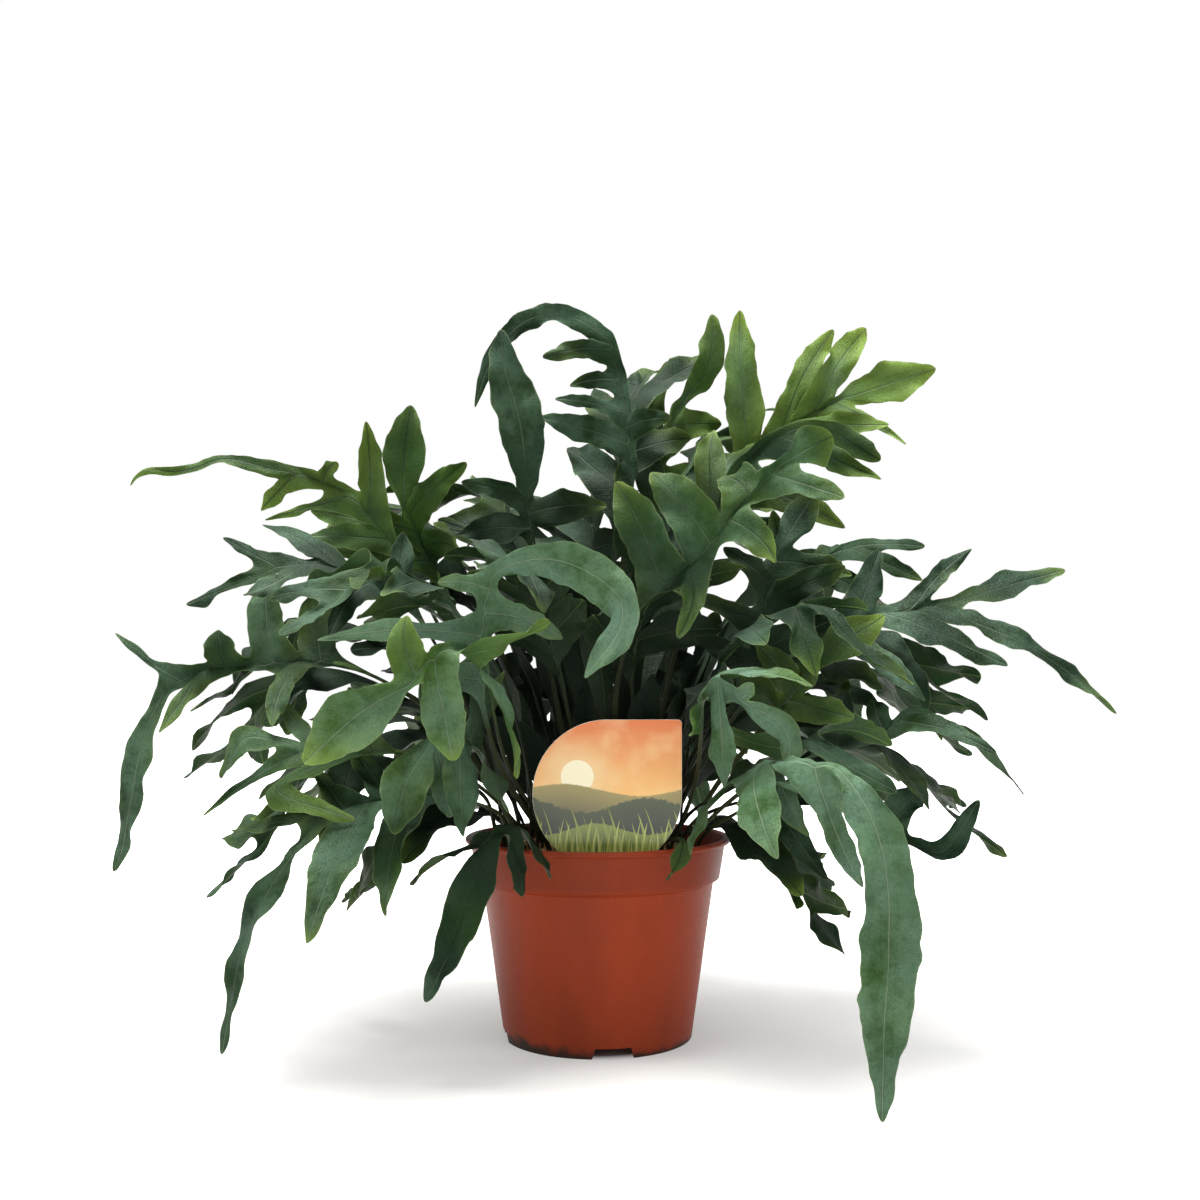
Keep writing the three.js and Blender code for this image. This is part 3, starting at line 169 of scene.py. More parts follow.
def linked(name, data):
    """A new object in the scene, for a mesh, a light or a camera."""
    thing = bpy.data.objects.new(name, data)
    bpy.context.scene.collection.objects.link(thing)
    return thing


def new_mesh(name, points, faces):
    mesh = bpy.data.meshes.new(name)
    mesh.from_pydata([tuple(p) for p in points], [], [tuple(f) for f in faces])
    return mesh


def new_object(name, points, faces):
    return linked(name, new_mesh(name, points, faces))


def make_piece(mesh, node, materials, smooth=True):
    """An object for a mesh, in the place of a CAD node, if it has one."""
    for material in materials:
        mesh.materials.append(material)
    if smooth:
        mesh.shade_smooth()
    piece = linked(mesh.name, mesh)
    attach(piece, BODY)
    if node:
        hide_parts(node)


def read_rows(items, name, width, kind):
    """A property of a mesh's points, edges or triangles, in a row for each."""
    values = np.empty(len(items) * width, kind)
    items.foreach_get(name, values)
    return values.reshape(-1, width)


def put_attribute(mesh, name, rows):
    """Stores three numbers for each point, to colour it by."""
    attribute = mesh.attributes.new(name, "FLOAT_VECTOR", "POINT")
    attribute.data.foreach_set("vector", np.ascontiguousarray(rows, np.float32).ravel())


def put_grain(mesh, grain):
    """Stores one number for each point, as the soil and rhizome finishes read it."""
    put_attribute(mesh, "grain", np.column_stack((grain,) * 3))


# Materials


def tint(text):
    """A linear colour from a hexadecimal one."""
    parts = [int(text[i : i + 2], 16) / 255 for i in (0, 2, 4)]
    return (*[p / 12.92 if p <= 0.04045 else ((p + 0.055) / 1.055) ** 2.4 for p in parts], 1.0)


class Field:
    """A number that varies over a surface. Sums and products of fields become nodes."""

    def __init__(self, tree, socket):
        self.tree = tree
        self.socket = socket

    def math(self, operation, *others, clamp=False):
        node = self.tree.nodes.new("ShaderNodeMath")
        node.operation = operation
        node.use_clamp = clamp
        for entry, value in zip(node.inputs, (self, *others)):
            if isinstance(value, Field):
                self.tree.links.new(value.socket, entry)
            else:
                entry.default_value = value
        return Field(self.tree, node.outputs[0])

    def __add__(self, other):
        return self.math("ADD", other)

    def __sub__(self, other):
        return self.math("SUBTRACT", other)

    def __mul__(self, other):
        return self.math("MULTIPLY", other)

    def __truediv__(self, other):
        return self.math("DIVIDE", other)

    def between(self, low, high):
        """0 at low and 1 at high, clamped; low may be the larger."""
        return ((self - low) / (high - low)).math("ADD", 0, clamp=True)

    def line(self, spacing, share):
        """Thin lines where this is a multiple of spacing."""
        off = ((self / spacing).math("FRACT") - 0.5).math("ABSOLUTE")
        return off.between(0.5 - share, 0.5)


class Surface:
    """A material whose colour, roughness and relief come from fields."""

    def __init__(self, name, **constants):
        self.material = bpy.data.materials.new(name)
        self.material.use_nodes = True
        self.tree = self.material.node_tree
        self.shader = self.tree.nodes["Principled BSDF"]
        for key, value in constants.items():
            self.shader.inputs[key.replace("_", " ")].default_value = value
        place = self.tree.nodes.new("ShaderNodeTexCoord")
        self.place = place.outputs["Object"]
        self.colour = None

    def link(self, source, name):
        """Feeds a socket of the shader."""
        self.tree.links.new(source, self.shader.inputs[name])

    def node(self, kind, **inputs):
        """A new node with these inputs, each a value or a socket."""
        node = self.tree.nodes.new(kind)
        for name, value in inputs.items():
            if isinstance(value, bpy.types.NodeSocket):
                self.tree.links.new(value, node.inputs[name])
            else:
                node.inputs[name].default_value = value
        return node

    def split(self, socket):
        node = self.node("ShaderNodeSeparateXYZ", Vector=socket)
        return [Field(self.tree, out) for out in node.outputs]

    def position(self):
        return self.split(self.place)

    def stored(self, name):
        """The fields of a vector attribute."""
        node = self.node("ShaderNodeAttribute")
        node.attribute_name = name
        return self.split(node.outputs["Vector"])

    def noise(self, size, detail=2.0, roughness=0.5, stretch=(1, 1, 1)):
        """Soft noise from 0 to 1 with grains of about this size in metres."""
        place = self.node("ShaderNodeMapping", Vector=self.place, Scale=stretch).outputs[0]
        grain = {"Scale": 1 / size, "Detail": detail, "Roughness": roughness}
        node = self.node("ShaderNodeTexNoise", Vector=place, **grain)
        return Field(self.tree, node.outputs[0])

    def cells(self, size):
        """Distance from the edges of cells of about this size, in cell sizes."""
        node = self.node("ShaderNodeTexVoronoi", Vector=self.place, Scale=1 / size)
        node.feature = "DISTANCE_TO_EDGE"
        return Field(self.tree, node.outputs["Distance"])

    def blend(self, amount, below, above):
        """A colour that goes from one to another with amount, 0 to 1."""
        node = self.tree.nodes.new("ShaderNodeMix")
        node.data_type = "RGBA"
        self.tree.links.new(amount.socket, node.inputs[0])
        for entry, colour in ((node.inputs[6], below), (node.inputs[7], above)):
            if isinstance(colour, str):
                entry.default_value = tint(colour)
            else:
                self.tree.links.new(colour, entry)
        return node.outputs[2]

    def coat(self, amount, colour):
        """Lays a colour over those so far, as thickly as amount says."""
        self.colour = self.blend(amount, self.colour, colour)

    def finish(self, roughness=None, relief=None, depth=0):
        """Links the colour, the roughness and a relief whose height is depth."""
        self.link(self.colour, "Base Color")
        if roughness is not None:
            self.link(roughness.socket, "Roughness")
        if relief is not None:
            bump = self.node("ShaderNodeBump", Height=relief.socket, Distance=depth)
            self.link(bump.outputs[0], "Normal")
        return self.material


# A blade's colours and finish, on the upper side and on the lower one
LEAF_SIDES = {
    "light": ("254312", "2e4f19"),
    "deep": ("0d200c", "142f12"),
    "cloud": ("132c13", "1c3a16"),
    "powder": ("5f7c5e", "3f5b3a"),
    "veins": ("55704f", "64803f"),
    "spores": ("15271b", "6b4a20"),
    "cloudiness": (0.5, 0.4),
    "gloss": (0.12, 0.16),
    "roughness": (0.5, 0.4),
}

# Marks on a blade, in metres: veins beside the midrib, rows of spores and a fine net
VEIN_SPACING = 0.0058
VEIN_SLANT = 0.9
SPORES_OFF_RIB = 0.0042
SPORE_SPACING = 0.0034
NET_SIZE = 0.0021


def leaf_finish(name, upper):
    """The upper side of a blade carries a pale bloom, and the lower one is a fresher green."""
    side = {part: pair[0 if upper else 1] for part, pair in LEAF_SIDES.items()}
    s = Surface(name, Specular_IOR_Level=side["gloss"])
    along, lateral, margin = s.stored("blade")
    young, bloom, deep = s.stored("mood")
    # The stem attribute holds the share of stalk and the painted shade of the plant's heart
    stalk, inner, _ = s.stored("stem")
    patches = s.noise(0.030, 3)
    mottle = s.noise(0.006, 4, 0.6)
    specks = s.noise(0.0016, 2)
    cloud = patches.between(0.38, 0.66)
    s.colour = s.blend(deep, side["light"], side["deep"])
    s.coat(cloud * side["cloudiness"], side["cloud"])
    if upper:
        powder = bloom * (patches * 1.6 + mottle - 0.62)
        s.coat(powder.between(0.2, 0.95), side["powder"])
        s.coat((bloom * cloud * 0.4).between(0, 1), "3d5452")
    else:
        s.coat((bloom * mottle * 0.6).between(0, 1), side["powder"])
    # Yellow-green, partly the young colour and partly painted light shining through the blade
    fresh_and_painted_glow = young * (margin * 0.55 + mottle * 0.6 + 0.1)
    s.coat(fresh_and_painted_glow.between(0.12, 0.95), "647a2c")
    s.coat(mottle.between(0.56, 0.78) * 0.4, "101f13")
    rib = lateral.between(MIDRIB_HALF_WIDTH * 0.6, MIDRIB_HALF_WIDTH * 0.2)
    rib_colour = s.blend(bloom, "0b180d", "7f9076") if upper else "6f8a4a"
    veins = (along - lateral * VEIN_SLANT).line(VEIN_SPACING, 0.07) * lateral.between(0, 0.002)
    spores = (lateral - SPORES_OFF_RIB).math("ABSOLUTE").between(0.0007, 0.0002)
    spores = spores * along.line(SPORE_SPACING, 0.3)
    net = s.cells(NET_SIZE).between(0.09, 0.0)
    s.coat(rib * 0.45, rib_colour)
    s.coat(veins * 0.07, side["veins"])
    s.coat(spores * margin.between(0.9, 0.7) * 0.35, side["spores"])
    s.coat(net * 0.10, "14281a")
    s.coat(margin.between(0.94, 1.0) * 0.3, "7f9160")
    s.coat(stalk, "3c4020")
    # Painted shade: blades darkened in the heart of the plant
    s.coat(inner * 0.78, "0a130b")
    relief = (net * -0.25) + (veins * -0.2) + (mottle * 0.8) + (specks * 0.25) - (rib * 0.8)
    return s.finish(mottle * 0.25 + side["roughness"], relief, 0.0007)


# Heights on the pot between which a mark goes from none to full, in metres
# The collar's mark is painted shade from the fronds above it
COLLAR_PAINTED_SHADE = (0.097, 0.104)
FOOT_SOIL = (0.006, 0.0005)
FOOT_LINE = (0.0030, 0.0006)
SPLASHES = (0.09, 0.0)


def pot_finish():
    """Thin moulded plastic, faintly grained, scuffed and stained with soil at the foot, with painted
    shade on the collar.
    """
    s = Surface("pot_plastic", Specular_IOR_Level=0.13)
    x, _, z = s.position()
    flow = s.noise(0.05, 3, 0.5, (1, 1, 0.35))
    grain = s.noise(0.0009, 3, 0.6)
    scuffs = s.noise(0.004, 5, 0.7, (1, 1, 4))
    s.colour = s.blend(flow.between(0.3, 0.7), "742a10", "8e3312")
    s.coat(grain.between(0.35, 0.75) * 0.22, "5c2216")
    s.coat(scuffs.between(0.68, 0.8) * 0.2, "b06a48")
    # Painted shade: the collar darkened under the fronds
    s.coat(z.between(*COLLAR_PAINTED_SHADE) * 0.22, "3a140a")
    uneven_height = z + (s.noise(0.012, 5, 0.65) - 0.5) * 0.018 + (x * 0.05)
    s.coat(uneven_height.between(*FOOT_SOIL), "2e2016")
    s.coat(z.between(*FOOT_LINE) * 0.85, "2a1a12")
    dots = s.noise(0.0022, 2).between(0.78, 0.83) * z.between(*SPLASHES)
    s.coat(dots * 0.8, "34241a")
    return s.finish(flow * 0.12 + (scuffs * 0.15) + 0.3, grain + (flow * 0.6), 0.00035)


def soil_finish():
    """Dark crumbs, with paler bark and white perlite by the grain stored at each point."""
    s = Surface("soil_crumb", Roughness=0.95, Specular_IOR_Level=0.2)
    kind = s.stored("grain")[0]
    clods = s.noise(0.004, 5, 0.7)
    s.colour = s.blend(clods.between(0.3, 0.7), "1c130d", "4a3424")
    s.coat(kind.between(0.3, 0.6), "6b4a2e")
    s.coat(kind.between(0.85, 0.9), "cfc8b8")
    return s.finish(None, clods + s.noise(0.0008, 3), 0.0012)


def rhizome_finish():
    """Golden-brown fur of fine scales."""
    s = Surface("rhizome_fur", Roughness=0.85, Sheen_Weight=0.4, Sheen_Roughness=0.4)
    kind = s.stored("grain")[0]
    fur = s.noise(0.0012, 4, 0.7)
    s.colour = s.blend(fur.between(0.3, 0.7), "5f3d1a", "b98a4a")
    s.coat(kind.between(0.4, 1.0) * 0.6, "d6ae6c")
    return s.finish(None, fur + s.noise(0.004, 3), 0.0012)


# The print, in shares of the card's width from its left edge and up from its round foot
SUN_PLACE = (0.3, 0.62)
SUN_EDGE = (0.112, 0.108)
SUN_GLOW = (0.3, 0.11)

# Hills: height, sway, waves across, shift, roughness of the edge, near and far colour
HILLS = (
    (0.53, 0.04, 6.0, 0.4, 0.02, "93854a", "5f5a34"),
    (0.43, 0.05, 7.5, 2.1, 0.09, "3a4424", "1f2a18"),
    (0.27, 0.04, 9.0, 4.0, 0.05, "7f8f34", "55692a"),
)

# Rows of grass: spacing, height, bend and colour
GRASS = (
    (0.062, 0.36, 0.5, "8c9a3c"),
    (0.047, 0.29, -0.4, "b4bd5c"),
    (0.036, 0.20, 0.2, "ccd07c"),
)


def card_front():
    """A plain warm print: a sun over three soft hills, with blades of grass along the foot."""
    s = Surface("card_print", Roughness=0.34, Coat_Weight=0.25, Coat_Roughness=0.2)
    x, _, z = s.position()
    low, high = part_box("plant_card")
    width = high.x - low.x
    across = (x - low.x) / width
    rise = (z - (high.z - width)) / width
    soft = s.noise(0.02, 3)
    s.colour = s.blend(rise.between(0.35, 1.0), "ecc06c", "d26a2a")
    s.coat(soft.between(0.45, 0.7) * 0.35, "ecd29a")
    from_sun = (across - SUN_PLACE[0]).math("POWER", 2) + (rise - SUN_PLACE[1]).math("POWER", 2)
    from_sun = from_sun.math("SQRT")
    s.coat(from_sun.between(*SUN_GLOW) * 0.6, "e6cd96")
    s.coat(from_sun.between(*SUN_EDGE), "ece2c0")
    leaves = s.noise(0.0035, 4, 0.7)
    for height, sway, waves, shift, rough, near, far in HILLS:
        edge = (across * waves + shift).math("SINE") * sway + height + (leaves - 0.5) * rough
        over = (edge - rise).between(-0.004, 0.004)
        s.coat(over, s.blend((edge - rise).between(0.0, 0.2), near, far))
    for spacing, tall, bend, shade in GRASS:
        place = ((across + (rise * rise) * bend) / spacing).math("FRACT")
        tips = (across * 1.7 / spacing).math("SINE") * 0.06 + tall
        width_left = ((tips - rise) / tall).between(0.0, 1.0) * 0.34
        s.coat((place - 0.5).math("ABSOLUTE").math("LESS_THAN", width_left), shade)
    return s.finish(None, soft, 0.0001)


def card_back():
    s = Surface("card_plain", Roughness=0.4)
    _, _, z = s.position()
    s.colour = s.blend(z.between(0.07, 0.19), "e8e4d2", "f1eee2")
    return s.finish()


# Fronds


def welded(obj):
    """The points and triangles of a CAD node, with coinciding points made one."""
    obj.data.calc_loop_triangles()
    points = read_rows(obj.data.vertices, "co", 3, np.float32).astype(float)
    corners = read_rows(obj.data.loop_triangles, "vertices", 3, np.int32)
    keys = np.round(points / WELD).astype(np.int64)
    _, first, same = np.unique(keys, axis=0, return_index=True, return_inverse=True)
    return points[first], same.reshape(-1)[corners]


def unit(vectors):
    return vectors / np.maximum(np.linalg.norm(vectors, axis=-1, keepdims=True), 1e-12)


def face_normals(points, faces):
    """The normals of triangles, each as long as twice its area."""
    a, b, c = points[faces].transpose(1, 0, 2)
    return np.cross(b - a, c - a)


class Blade:
    """A frond's middle surface, read from its closed CAD solid.

    The solid's ribs are pairs of points, one on each side of the blade, and its margin points are
    single. Triangles that meet at a margin edge face each other across the blade, so the points
    opposite that edge are a rib's pair.
    """

    def __init__(self, obj):
        points, faces = welded(obj)
        self.normals = unit(face_normals(points, faces))
        beside = {}
        for index, (a, b, c) in enumerate(faces.tolist()):
            for u, v, far in ((a, b, c), (b, c, a), (c, a, b)):
                beside.setdefault((min(u, v), max(u, v)), []).append((index, far))
        self.pair = {}
        for (f, u), (g, v) in beside.values():
            close = np.linalg.norm(points[u] - points[v]) < THICKEST_RIB
            if close and self.normals[f] @ self.normals[g] < OPPOSED:
                self.pair[u] = v
                self.pair[v] = u
        joined = [[] for _ in faces]
        for (f, u), (g, v) in beside.values():
            if self.pair.get(u) != v:
                joined[f].append(g)
                joined[g].append(f)
        self.read_side(points, faces, self.upper_side(joined))
        self.measure()

    def upper_side(self, joined):
        """The triangles of the side that faces up and to the front."""
        side = np.zeros(len(joined), bool)
        queue = [0]
        side[0] = True
        while queue:
            for other in joined[queue.pop()]:
                if not side[other]:
                    side[other] = True
                    queue.append(other)
        facing = self.normals[side].mean(0) - self.normals[~side].mean(0)
        return side if facing @ np.array(UPPER_WAY) > 0 else ~side

    def read_side(self, points, faces, side):
        """Keeps one side, moved to the middle between it and its twin points."""
        used, local = np.unique(faces[side], return_inverse=True)
        self.faces = local.reshape(-1, 3)
        twins = np.array([self.pair.get(i, i) for i in used.tolist()])
        self.points = (points[used] + points[twins]) / 2
        self.half = np.linalg.norm(points[used] - points[twins], axis=1) / 2
        self.is_rib = self.half > 0

    def measure(self):
        """Reads the ribs as edges, and for each point its distance along them and to the next tip."""
        count = len(self.points)
        near = [set() for _ in range(count)]
        for a, b, c in self.faces.tolist():
            near[a] |= {b, c}
            near[b] |= {a, c}
            near[c] |= {a, b}
        ribs = np.flatnonzero(self.is_rib).tolist()
        tree = {r: [n for n in near[r] if self.is_rib[n]] for r in ribs}
        ends = [r for r in ribs if len(tree[r]) == 1]
        foot = min(ends, key=lambda r: self.points[r][2] - FOOT_WEIGHT * self.half[r])
        along = np.zeros(count)
        order = [foot]
        before = {foot: None}
        for r in order:
            for n in tree[r]:
                if n not in before:
                    before[n] = r
                    along[n] = along[r] + np.linalg.norm(self.points[n] - self.points[r])
                    order.append(n)
        to_tip = np.full(count, np.inf)
        for r in reversed(order):
            if len(tree[r]) == 1 and r != foot:
                to_tip[r] = END_REACH
            if before[r] is not None:
                step = along[r] - along[before[r]]
                to_tip[before[r]] = min(to_tip[before[r]], to_tip[r] + step)
        body = self.half.copy()
        edges = [(before[r], r) for r in order if before[r] is not None]
        for i in range(count):
            if not self.is_rib[i]:
                mine = [n for n in near[i] if self.is_rib[n]]
                r = min(mine, key=lambda n: np.linalg.norm(self.points[n] - self.points[i]))
                along[i], to_tip[i], body[i] = along[r], to_tip[r], self.half[r]
                if len(mine) == 1 and len(tree[r]) == 1:
                    edges.append((r, i))
                    along[i] += np.linalg.norm(self.points[r] - self.points[i])
                    to_tip[i] = 0
        self.ribs = np.array(edges)
        stalk = (body > STALK_HALF).astype(float)
        rib = self.is_rib.astype(float)
        self.columns = np.column_stack((self.points, rib, body, along, to_tip, stalk))


def sides_of(faces):
    """The sides of all triangles as pairs of points, triangle by triangle."""
    return np.stack([faces, np.roll(faces, -1, 1)], 2).reshape(-1, 2)


def edge_keys(pairs, count):
    """A number for each pair of points, the same from both ends."""
    return pairs.min(1) * count + pairs.max(1)


def split(columns, faces, ribs):
    """One step of Loop subdivision, with a smooth curve for a margin. Rib edges are split too."""
    count = len(columns)
    keys = edge_keys(sides_of(faces), count)
    keys, edge_of, uses = np.unique(keys, return_inverse=True, return_counts=True)
    edges = np.column_stack((keys // count, keys % count))
    across = np.zeros((len(edges), columns.shape[1]))
    np.add.at(across, edge_of, columns[np.roll(faces, -2, 1).reshape(-1)])
    ends = columns[edges].sum(1)
    inner = uses == 2
    middles = np.where(inner[:, None], 0.375 * ends + 0.125 * across, 0.5 * ends)

    def around(pairs):
        total = np.zeros_like(columns)
        np.add.at(total, pairs[:, 0], columns[pairs[:, 1]])
        np.add.at(total, pairs[:, 1], columns[pairs[:, 0]])
        return total, np.bincount(pairs.reshape(-1), minlength=count)

    total, valence = around(edges)
    pull = np.where(valence == 3, 3 / 16, 3 / (8 * np.maximum(valence, 1)))[:, None]
    moved = (1 - valence[:, None] * pull) * columns + pull * total
    rim_total, rim_uses = around(edges[~inner])
    on_rim = rim_uses > 0
    moved[on_rim] = 0.75 * columns[on_rim] + 0.125 * rim_total[on_rim]
    a, b, c = faces.T
    ab, bc, ca = edge_of.reshape(-1, 3).T + count
    parts = ((a, ab, ca), (ab, b, bc), (ca, bc, c), (ab, bc, ca))
    finer = np.concatenate([np.column_stack(part) for part in parts])
    half_way = np.searchsorted(keys, edge_keys(ribs, count)) + count
    finer_ribs = np.column_stack((ribs[:, 0], half_way, half_way, ribs[:, 1])).reshape(-1, 2)
    return np.concatenate([moved, middles]), finer, finer_ribs


def fitted(columns, faces, ribs):
    """Shifts the points so that the smoothed sheet passes close to where they were."""
    aim = columns[:, :3].copy()
    for _ in range(FIT_STEPS):
        trial = split(*split(columns, faces, ribs))[0]
        columns[:, :3] += FIT_SHARE * (aim - trial[: len(aim), :3])
    return columns


def beside_rib(points, along, ribs):
    """For each point its distance along the nearest rib and its distance off it."""
    heading = np.zeros_like(points)
    step = points[ribs[:, 1]] - points[ribs[:, 0]]
    np.add.at(heading, ribs[:, 0], step)
    np.add.at(heading, ribs[:, 1], step)
    on_rib = np.unique(ribs)
    rib_points, heading = points[on_rib], unit(heading[on_rib])
    apart = (points**2).sum(1)[:, None] + (rib_points**2).sum(1) - 2 * points @ rib_points.T
    nearest = apart.argmin(1)
    off = points - rib_points[nearest]
    forward = (off * heading[nearest]).sum(1)
    lateral = np.sqrt(np.maximum((off**2).sum(1) - forward**2, 0))
    lateral[on_rib] = 0
    return along[on_rib[nearest]] + forward, lateral


def point_normals(points, faces):
    total = np.zeros_like(points)
    normals = face_normals(points, faces)
    for corner in faces.T:
        np.add.at(total, corner, normals)
    return unit(total)


def closed_blade(sheet, above, below):
    """The two sides of a blade, joined along the margin: points, faces, lower points and margin."""
    points, faces = sheet
    normals = point_normals(points, faces)
    count = len(points)
    keys, uses = np.unique(edge_keys(sides_of(faces), count), return_counts=True)
    rim = np.column_stack((keys // count, keys % count))[uses == 1]
    on_rim = np.zeros(count, bool)
    on_rim[rim.reshape(-1)] = True
    low_of = np.arange(count)
    low_of[~on_rim] = count + np.arange((~on_rim).sum())
    top = np.where(on_rim[:, None], points, points + normals * above[:, None])
    low = (points - normals * below[:, None])[~on_rim]
    both_sides = np.concatenate([faces, low_of[faces[:, ::-1]]])
    return np.concatenate([top, low]), both_sides, ~on_rim, rim


def mark_rim(mesh, rim):
    """Makes the margin a sharp edge, so that the two sides are shaded apart."""
    ends = read_rows(mesh.edges, "vertices", 2, np.int32).astype(np.int64)
    count = len(mesh.vertices)
    sharp = mesh.attributes.new("sharp_edge", "BOOLEAN", "EDGE")
    sharp.data.foreach_set("value", np.isin(edge_keys(ends, count), edge_keys(rim, count)))


def make_blades(name, node, materials, sheet, measures, section, looks):
    """A piece from the middle surface of leaves, with what the leaf finish reads.

    The measures are along, off the midrib and outward. The section is half a stalk's thickness,
    the midrib's height and how round it is. The looks are moods and the share of stalk.
    """
    points, faces = sheet
    _, lateral, outward = measures
    body, ridge, stem = section
    moods, stalk = looks
    round_half = body * np.sqrt(np.clip(1 - outward**2, 0, 1))
    ridge = ridge * np.exp(-((lateral / MIDRIB_HALF_WIDTH) ** 2))
    above = BLADE_HALF + (round_half - BLADE_HALF) * stem
    below = (BLADE_HALF + ridge) * (1 - stem) + round_half * stem
    both, all_faces, lower, rim = closed_blade(sheet, above, below)
    mesh = new_mesh(name, both, all_faces)
    make_piece(mesh, node, materials)
    mesh.polygons.foreach_set("material_index", np.repeat([0, 1], len(faces)).astype(np.int32))
    mark_rim(mesh, rim)
    # Painted shade: blades darken towards the heart of the plant, fully in its core
    inner = smooth_step(-HEART_SHADE_REACH, -HEART_SHADE_CORE, -np.linalg.norm(points - HEART, axis=1))
    stalk_and_shade = (stalk, inner, np.zeros_like(stalk))
    for label, parts in (("mood", moods), ("blade", measures), ("stem", stalk_and_shade)):
        rows = np.column_stack(parts)
        put_attribute(mesh, label, np.concatenate([rows, rows[lower]]))


ripple_field = Swell(0.030)
buckle_field = Swell(0.020)
notch_field = Swell(0.011, channels=3)
mood_field = Swell(0.060, channels=3)


def dress_frond(name, mood, levels, materials):
    """A smooth, rippled blade with a midrib, in the place of a CAD frond. Returns its points."""
    blade = Blade(nodes[name])
    faces, ribs = blade.faces, blade.ribs
    columns = fitted(blade.columns, faces, ribs)
    for _ in range(levels):
        columns, faces, ribs = split(columns, faces, ribs)
    points = columns[:, :3]
    rib, body, along, to_tip, stalk = columns[:, 3:].T
    along, lateral = beside_rib(points, along, ribs)
    outward = np.clip(1 - rib, 0, 1)
    stalk = np.clip(stalk, 0, 1)
    leafy = (1 - stalk) * smooth_step(0, WAVE_FULL, lateral + WAVE_LEAD)
    lift = ripple_field(points)[:, 0] * RIPPLE * outward**RIPPLE_POWER * leafy
    lift += buckle_field(points)[:, 0] * BUCKLE * leafy
    notching = notch_field(points) * NOTCHING * (outward**NOTCH_POWER * leafy)[:, None]
    notching *= smooth_step(0, NARROW, lateral)[:, None]
    points = points + point_normals(points, faces) * lift[:, None] + notching
    section = (body, np.maximum(body - BLADE_HALF, 0), smooth_step(*STEM_FADE, stalk))
    young, bloom, deep = mood
    drift = mood_field(points)
    # Painted light: the yellow-green at the tips stands partly for light shining through them
    tip = np.exp(-np.maximum(to_tip, 0) / TIP_TINT)
    tip_yellow_and_glow = tip**2 * np.clip(YELLOW_LEAST + YELLOW_DRIFT * drift[:, 0], 0, 1)
    fresh_and_painted_glow = young * (FRESH_BODY + FRESH_TIP * tip) + YELLOW_SHARE * tip_yellow_and_glow
    moods = (np.column_stack(np.broadcast_arrays(fresh_and_painted_glow, bloom, deep)) + drift * DRIFT).T
    measures = (along, lateral, outward)
    make_blades(f"{name}_blade", name, materials, (points, faces), measures, section, (moods, stalk))
    return points


def dress_fronds():
    materials = [leaf_finish("leaf_upper", True), leaf_finish("leaf_lower", False)]
    foliage = []
    for name in sorted(nodes):
        mood, levels = MOODS.get(name.removeprefix("frond_")), FINE_LEVELS
        if name.startswith("frond_fill_"):
            mood = rng.uniform(*FILL_MOODS)
            levels = FINE_LEVELS if int(name.rsplit("_", 1)[1]) <= FRONT_FILLS else PLAIN_LEVELS
        if mood is not None:
            foliage.append(dress_frond(name, mood, levels, materials))
    dress_heart(np.concatenate(foliage), materials)


# Young leaves: undivided blades on thin stalks, low among the fronds

YOUNG_LEAVES = 36
YOUNG_TRIES = 900
LEAF_STEPS = 22
LEAF_WIDTH = 7
YOUNG_MOOD = (0.12, 0.15, 0.85)

# Their room, the half width and height in which fronds are heeded, and their front line
YOUNG_ROOM = 0.0022
YOUNG_SPACE = (0.15, 0.36)
YOUNG_FRONT = -0.050

# From least to most: bearing, distance from the axis and rise of a leaf
LEAF_PLACES = ((0, 0.008, 0.075), (2 * math.pi, 0.062, 0.19))

# From least to most: lean outward, swerve aside, half width of the blade and tilt of its face
LEAF_FORMS = ((0.01, -0.03, 0.009, 0.2), (0.05, 0.03, 0.016, 0.9))

# The share that faces outward, how a swerve turns the face, the foot's depth and the arch
FACING_OUT = 0.7
TWIST = 12
FOOT_DEPTH = 0.003
ARCH = 0.2

# The stalk: its share of the leaf, how fast it widens, its half width and its ridge
STALK_SHARE = 0.4
STALK_FADE = 0.12
YOUNG_STALK = 0.0009
RIDGE_SHARE = 0.4

# The blade: how full and how cupped it is, and the half width from which it waves
FULLNESS = 0.85
CUP = 0.22
FLAT_HALF = 0.003

# Its waves: pace, shift by where it stands, and height
LEAF_WAVES = (19, 900, 0.0012)


def young_leaf(foot, tip, face, half_width):
    """The middle surface of a young leaf as a grid of points, with its measures and stalk share."""
    share = np.linspace(0, 1, LEAF_STEPS)[:, None]
    rest = 1 - share
    bend = np.array([foot[0], foot[1], (foot[2] + tip[2]) / 2 + ARCH * (tip[2] - foot[2])])
    spine = rest**2 * foot + 2 * rest * share * bend + share**2 * tip
    tangent = unit(np.gradient(spine, axis=0))
    side = unit(np.cross(tangent, face))
    outer = np.cross(side, tangent)
    blade_share = np.clip((share - STALK_SHARE) / (1 - STALK_SHARE), 0, 1)
    outline = np.sin(math.pi * blade_share**FULLNESS) ** FULLNESS
    half = YOUNG_STALK + np.maximum(outline * (half_width - YOUNG_STALK), 0)
    across = np.linspace(-1, 1, LEAF_WIDTH)
    off_rib = np.abs(across)
    pace, shift, height = LEAF_WAVES
    wave = np.sin(share * pace + foot[0] * shift) * across * height
    lift = off_rib * half * CUP + wave * (half > FLAT_HALF)
    grid = spine[:, None] + side[:, None] * (across * half)[:, :, None]
    grid += outer[:, None] * lift[:, :, None]
    stalk = 1 - smooth_step(0, STALK_FADE, blade_share)
    along = share * np.linalg.norm(tip - foot)
    rows = np.stack(np.broadcast_arrays(along, off_rib * half, off_rib, stalk), 2)
    return grid.reshape(-1, 3), rows.reshape(-1, 4)


